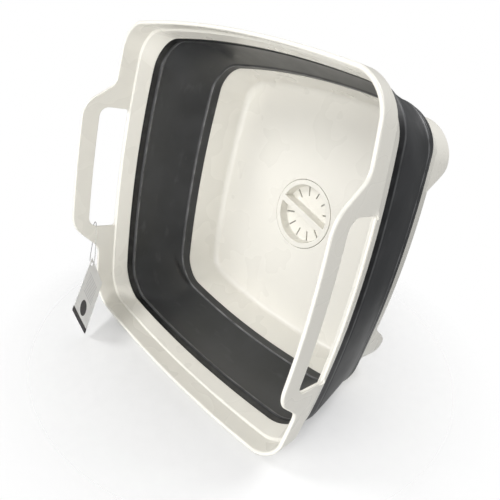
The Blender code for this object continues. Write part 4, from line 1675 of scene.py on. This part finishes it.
@dataclass(frozen=True)
class PrintedCard(Finish):
    """White coated card with a plain dark band, a plain dark disc and pale rules, all generic."""

    name: str = "white_card"
    dark: Triple = (0.89, 0.89, 0.89)
    light: Triple = (0.93, 0.93, 0.93)
    ink: Triple = (0.060, 0.057, 0.062)
    rule: Triple = (0.62, 0.62, 0.64)
    mottle: Mottle = Mottle(500, 3)
    roughness: Pair = (0.42, 0.55)
    sheen: Mottle = Mottle(400, 2)
    grains: tuple[Grain, ...] = (Grain(Mottle(1800, 3), 0.08, 0.00005),)
    constants: tuple[Constant, ...] = (
        ("Subsurface Weight", 0.8), ("Subsurface Radius", WHITE), ("Subsurface Scale", 0.002))
    band_top_share: float = 0.075
    disc_share: Pair = (0.47, 0.245)
    disc_radius_share: float = 0.185
    card_ratio: float = 1.5
    rule_turn: float = 150.0
    rule_edge: float = -0.55
    rule_across_share: Pair = (0.18, 0.80)
    rule_along_share: Pair = (0.42, 0.80)

    def colour(self, board: NodeBoard) -> Socket:
        """Return the paper with its rules, then the dark ink where the band or the disc lies.

        The band is where v is small. The disc is where the squares of both ways from its centre,
        added, stay under its radius' square.

        Args:
            board: The material's nodes.

        Returns:
            The colour.
        """
        card = board.node("ShaderNodeUVMap", uv_map="card").outputs["UV"]
        across, along, _ = board.node("ShaderNodeSeparateXYZ", {"Vector": card}).outputs
        ruled = board.mix(self.rules(board, across, along), super().colour(board), (*self.rule, 1))
        away = [board.math("SUBTRACT", value, centre)
                for value, centre in zip((across, along), self.disc_share)]
        away[1] = board.math("MULTIPLY", away[1], self.card_ratio)
        squares = board.math("ADD", *(board.math("MULTIPLY", way, way) for way in away))
        marks = board.math("MAXIMUM", board.math("LESS_THAN", along, self.band_top_share),
                           board.math("LESS_THAN", squares, self.disc_radius_share ** 2))
        return board.mix(marks, ruled, (*self.ink, 1))

    def rules(self, board: NodeBoard, across: Socket, along: Socket) -> Socket:
        """Return the mask of the pale rules: a wave along v under an edge, in the card's middle.

        Args:
            board: The material's nodes.
            across: u on the card.
            along: v on the card.

        Returns:
            1 on a rule and 0 elsewhere.
        """
        wave = board.math("SINE", board.math("MULTIPLY", along, self.rule_turn))
        mask = board.math("LESS_THAN", wave, self.rule_edge)
        for value, ends in ((across, self.rule_across_share), (along, self.rule_along_share)):
            for test, end in zip(("GREATER_THAN", "LESS_THAN"), ends):
                mask = board.math("MULTIPLY", mask, board.math(test, value, end))
        return mask


@dataclass(frozen=True)
class ClearPlastic(Finish):
    """Clear plastic loop, slightly cloudy."""

    name: str = "clear_loop"
    dark: Triple = (0.93, 0.94, 0.95)
    light: Triple = (0.97, 0.97, 0.98)
    mottle: Mottle = Mottle(400, 2)
    roughness: Pair = (0.12, 0.24)
    sheen: Mottle = Mottle(600, 2)
    grains: tuple[Grain, ...] = (Grain(Mottle(2400, 2), 0.05, 0.00004),)
    constants: tuple[Constant, ...] = (("Transmission Weight", 0.85), ("IOR", 1.3))


@dataclass
class Studio:
    """The pale floor that the basin leans on in the photograph, soft lights, world and camera.

    A light is its name, how far it hangs to the right of, above and behind the target as the camera
    sees it, its width in metres and its power in watts.
    """

    camera_place: Triple = (0.30695, 0.13826, 0.42772)
    view_way: Triple = (-0.627885, -0.355512, -0.692366)
    view_up: Triple = (-0.402425, 0.909733, -0.102177)
    lens_mm: float = 34.37
    sensor_mm: float = 36.0
    clip: Pair = (0.01, 20.0)
    floor_up: Triple = (0.0, 0.984, 0.178)
    floor_radius: float = 0.62
    floor_hole: float = 0.0005
    floor_steps: tuple[int, int] = (24, 96)
    floor_dark: Triple = (0.86, 0.86, 0.86)
    floor_light: Triple = (0.88, 0.88, 0.88)
    floor_mottle: Mottle = Mottle(90, 2)
    floor_roughness: float = 0.9
    fade_shares: Pair = (0.17, 0.44)
    target: Triple = (0.0, 0.0, 0.09)
    lights: tuple[tuple[str, float, float, float, float, float], ...] = (
        ("mouth_softbox", -0.857, -0.122, 0.83, 0.90, 7.7),
        ("front_fill", -0.05, 0.10, 1.30, 0.90, 5.2),
        ("left_key", -0.88, 0.66, 0.50, 0.32, 5.8),
        ("top_fill", 0.0, 1.18, 0.24, 0.90, 2.2),
        ("right_strip", 0.85, 0.75, 0.22, 0.60, 9.4),
        ("floor_bounce", -0.10, -1.00, 0.70, 0.90, 7.6),
    )
    ambient: float = 0.12
    sky: Triple = (0.97, 0.985, 1.0)

    def axes(self) -> tuple[Vector, Vector, Vector]:
        """Return the camera's right, up and back ways.

        Returns:
            Three unit vectors.
        """
        back = -Vector(self.view_way).normalized()
        right = Vector(self.view_up).cross(back).normalized()
        return right, back.cross(right), back

    def camera(self) -> None:
        """Set the camera at the photograph's place, angle and lens."""
        data = bpy.data.cameras.new("photo_camera")
        data.lens = self.lens_mm
        data.sensor_width = self.sensor_mm
        data.clip_start, data.clip_end = self.clip
        camera = add_object("photo_camera", data)
        turned = Matrix([tuple(way) for way in self.axes()]).transposed().to_4x4()
        camera.matrix_world = Matrix.Translation(self.camera_place) @ turned
        bpy.context.scene.camera = camera

    def floor(self) -> None:
        """Lay a round floor where the leaning basin touches it, and fade it out at its edge.

        Its height along the floor's own up is the least dot product of the CAD rim's and tray's
        points with it, and its points are middle + radius (cos a across + sin a along).
        """
        up = np.array(Vector(self.floor_up).normalized())
        level = min((mesh_points(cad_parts[name].data) @ up).min()
                    for name in ("rim_frame", "base_tray")) - GAP
        across = np.array([1.0, 0.0, 0.0])
        along = np.cross(up, across)
        middle = up * level + along * float(np.dot(along, np.array(self.target)))
        rings, columns = self.floor_steps
        radius = np.linspace(self.floor_hole, self.floor_radius, rings)[:, None, None]
        angles = np.linspace(0, 2 * math.pi, columns, endpoint=False)[None, :, None]
        grid = middle + radius * (np.cos(angles) * across + np.sin(angles) * along)
        index, quads = grid_quads(rings, columns)
        faces = quads[:-1, :, ::-1].reshape(-1, 4).tolist()
        mesh = bpy.data.meshes.new("floor")
        mesh.from_pydata(grid.reshape(-1, 3), [], [*faces, index[0].tolist()])
        mesh.materials.append(self.floor_material(middle))
        add_object("floor", mesh)

    def floor_material(self, middle: np.ndarray) -> bpy.types.Material:
        """Return matt white that fades to clear by its distance from the middle, seen from above.

        Args:
            middle: The floor's middle, from which it fades.

        Returns:
            The material.
        """
        board = NodeBoard("floor_paper")
        away = board.node("ShaderNodeVectorMath", {0: board.place, 1: tuple(middle)}, operation="DISTANCE")
        near, far = (self.floor_radius * share for share in self.fade_shares)
        fade = board.span(away.outputs["Value"], near, far, 1, 0)
        back = board.node("ShaderNodeNewGeometry").outputs["Backfacing"]
        return board.surface({
            "Base Color": board.blot(self.floor_mottle, self.floor_dark, self.floor_light),
            "Roughness": self.floor_roughness,
            "Alpha": board.math("MULTIPLY", fade, board.math("SUBTRACT", 1, back))})

    def light(self) -> None:
        """Hang the soft lights about the target, facing it and unseen by the camera."""
        right, up, back = self.axes()
        target = Vector(self.target)
        for name, to_right, to_up, to_back, size, power in self.lights:
            data = bpy.data.lights.new(name, "AREA")
            data.shape = "DISK"
            data.size = size
            data.energy = power
            lamp = add_object(name, data)
            place = target + right * to_right + up * to_up + back * to_back
            turned = (target - place).to_track_quat("-Z", "Y").to_matrix().to_4x4()
            lamp.matrix_world = Matrix.Translation(place) @ turned
            lamp.visible_camera = False

    def world(self) -> None:
        """Light the scene evenly and show plain white behind it."""
        world = bpy.data.worlds.new("studio")
        world.use_nodes = True
        tree = world.node_tree
        tree.nodes.clear()
        path, lit, shown, mix, out = (tree.nodes.new(f"ShaderNode{kind}") for kind in (
            "LightPath", "Background", "Background", "MixShader", "OutputWorld"))
        for node, colour, strength in ((lit, self.sky, self.ambient), (shown, WHITE, 1.0)):
            node.inputs["Strength"].default_value = strength
            node.inputs["Color"].default_value = (*colour, 1)
        for source, target in ((path.outputs["Is Camera Ray"], mix.inputs[0]),
                               (lit.outputs[0], mix.inputs[1]), (shown.outputs[0], mix.inputs[2]),
                               (mix.outputs[0], out.inputs["Surface"])):
            tree.links.new(source, target)
        bpy.context.scene.world = world
        bpy.context.scene.view_settings.view_transform = "Standard"


def main() -> None:
    """Build and dress every piece in order and log each one."""
    logging.basicConfig(level=logging.INFO, format="%(name)s: %(message)s")
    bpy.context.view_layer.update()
    form, drain, cream = BasinForm(), DrainSizes(), CreamPlastic()
    rim = RimFrame(form)
    for part, finish in ((rim, cream), (FoldingWall(form), SoftRubber()),
                         (BaseTray(form, drain), cream), (DrainDial(form, drain), cream)):
        piece = part.build()
        part.dress(piece, finish)
        points, faces = len(piece.data.vertices), len(piece.data.polygons)
        log.info("%s: %d points, %d faces", piece.name, points, faces)
    tag = TagAndLoop(rim)
    card, loop = tag.card(), tag.loop()
    tag.dress(card, loop, PrintedCard(), ClearPlastic())
    log.info("%s and %s", card.name, loop.name)
    SmallParts().dress(SealRubber(), PlainSteel())
    studio = Studio()
    for step in (studio.camera, studio.floor, studio.light, studio.world):
        step()
    log.info("studio")


if __name__ == "__main__":
    main()
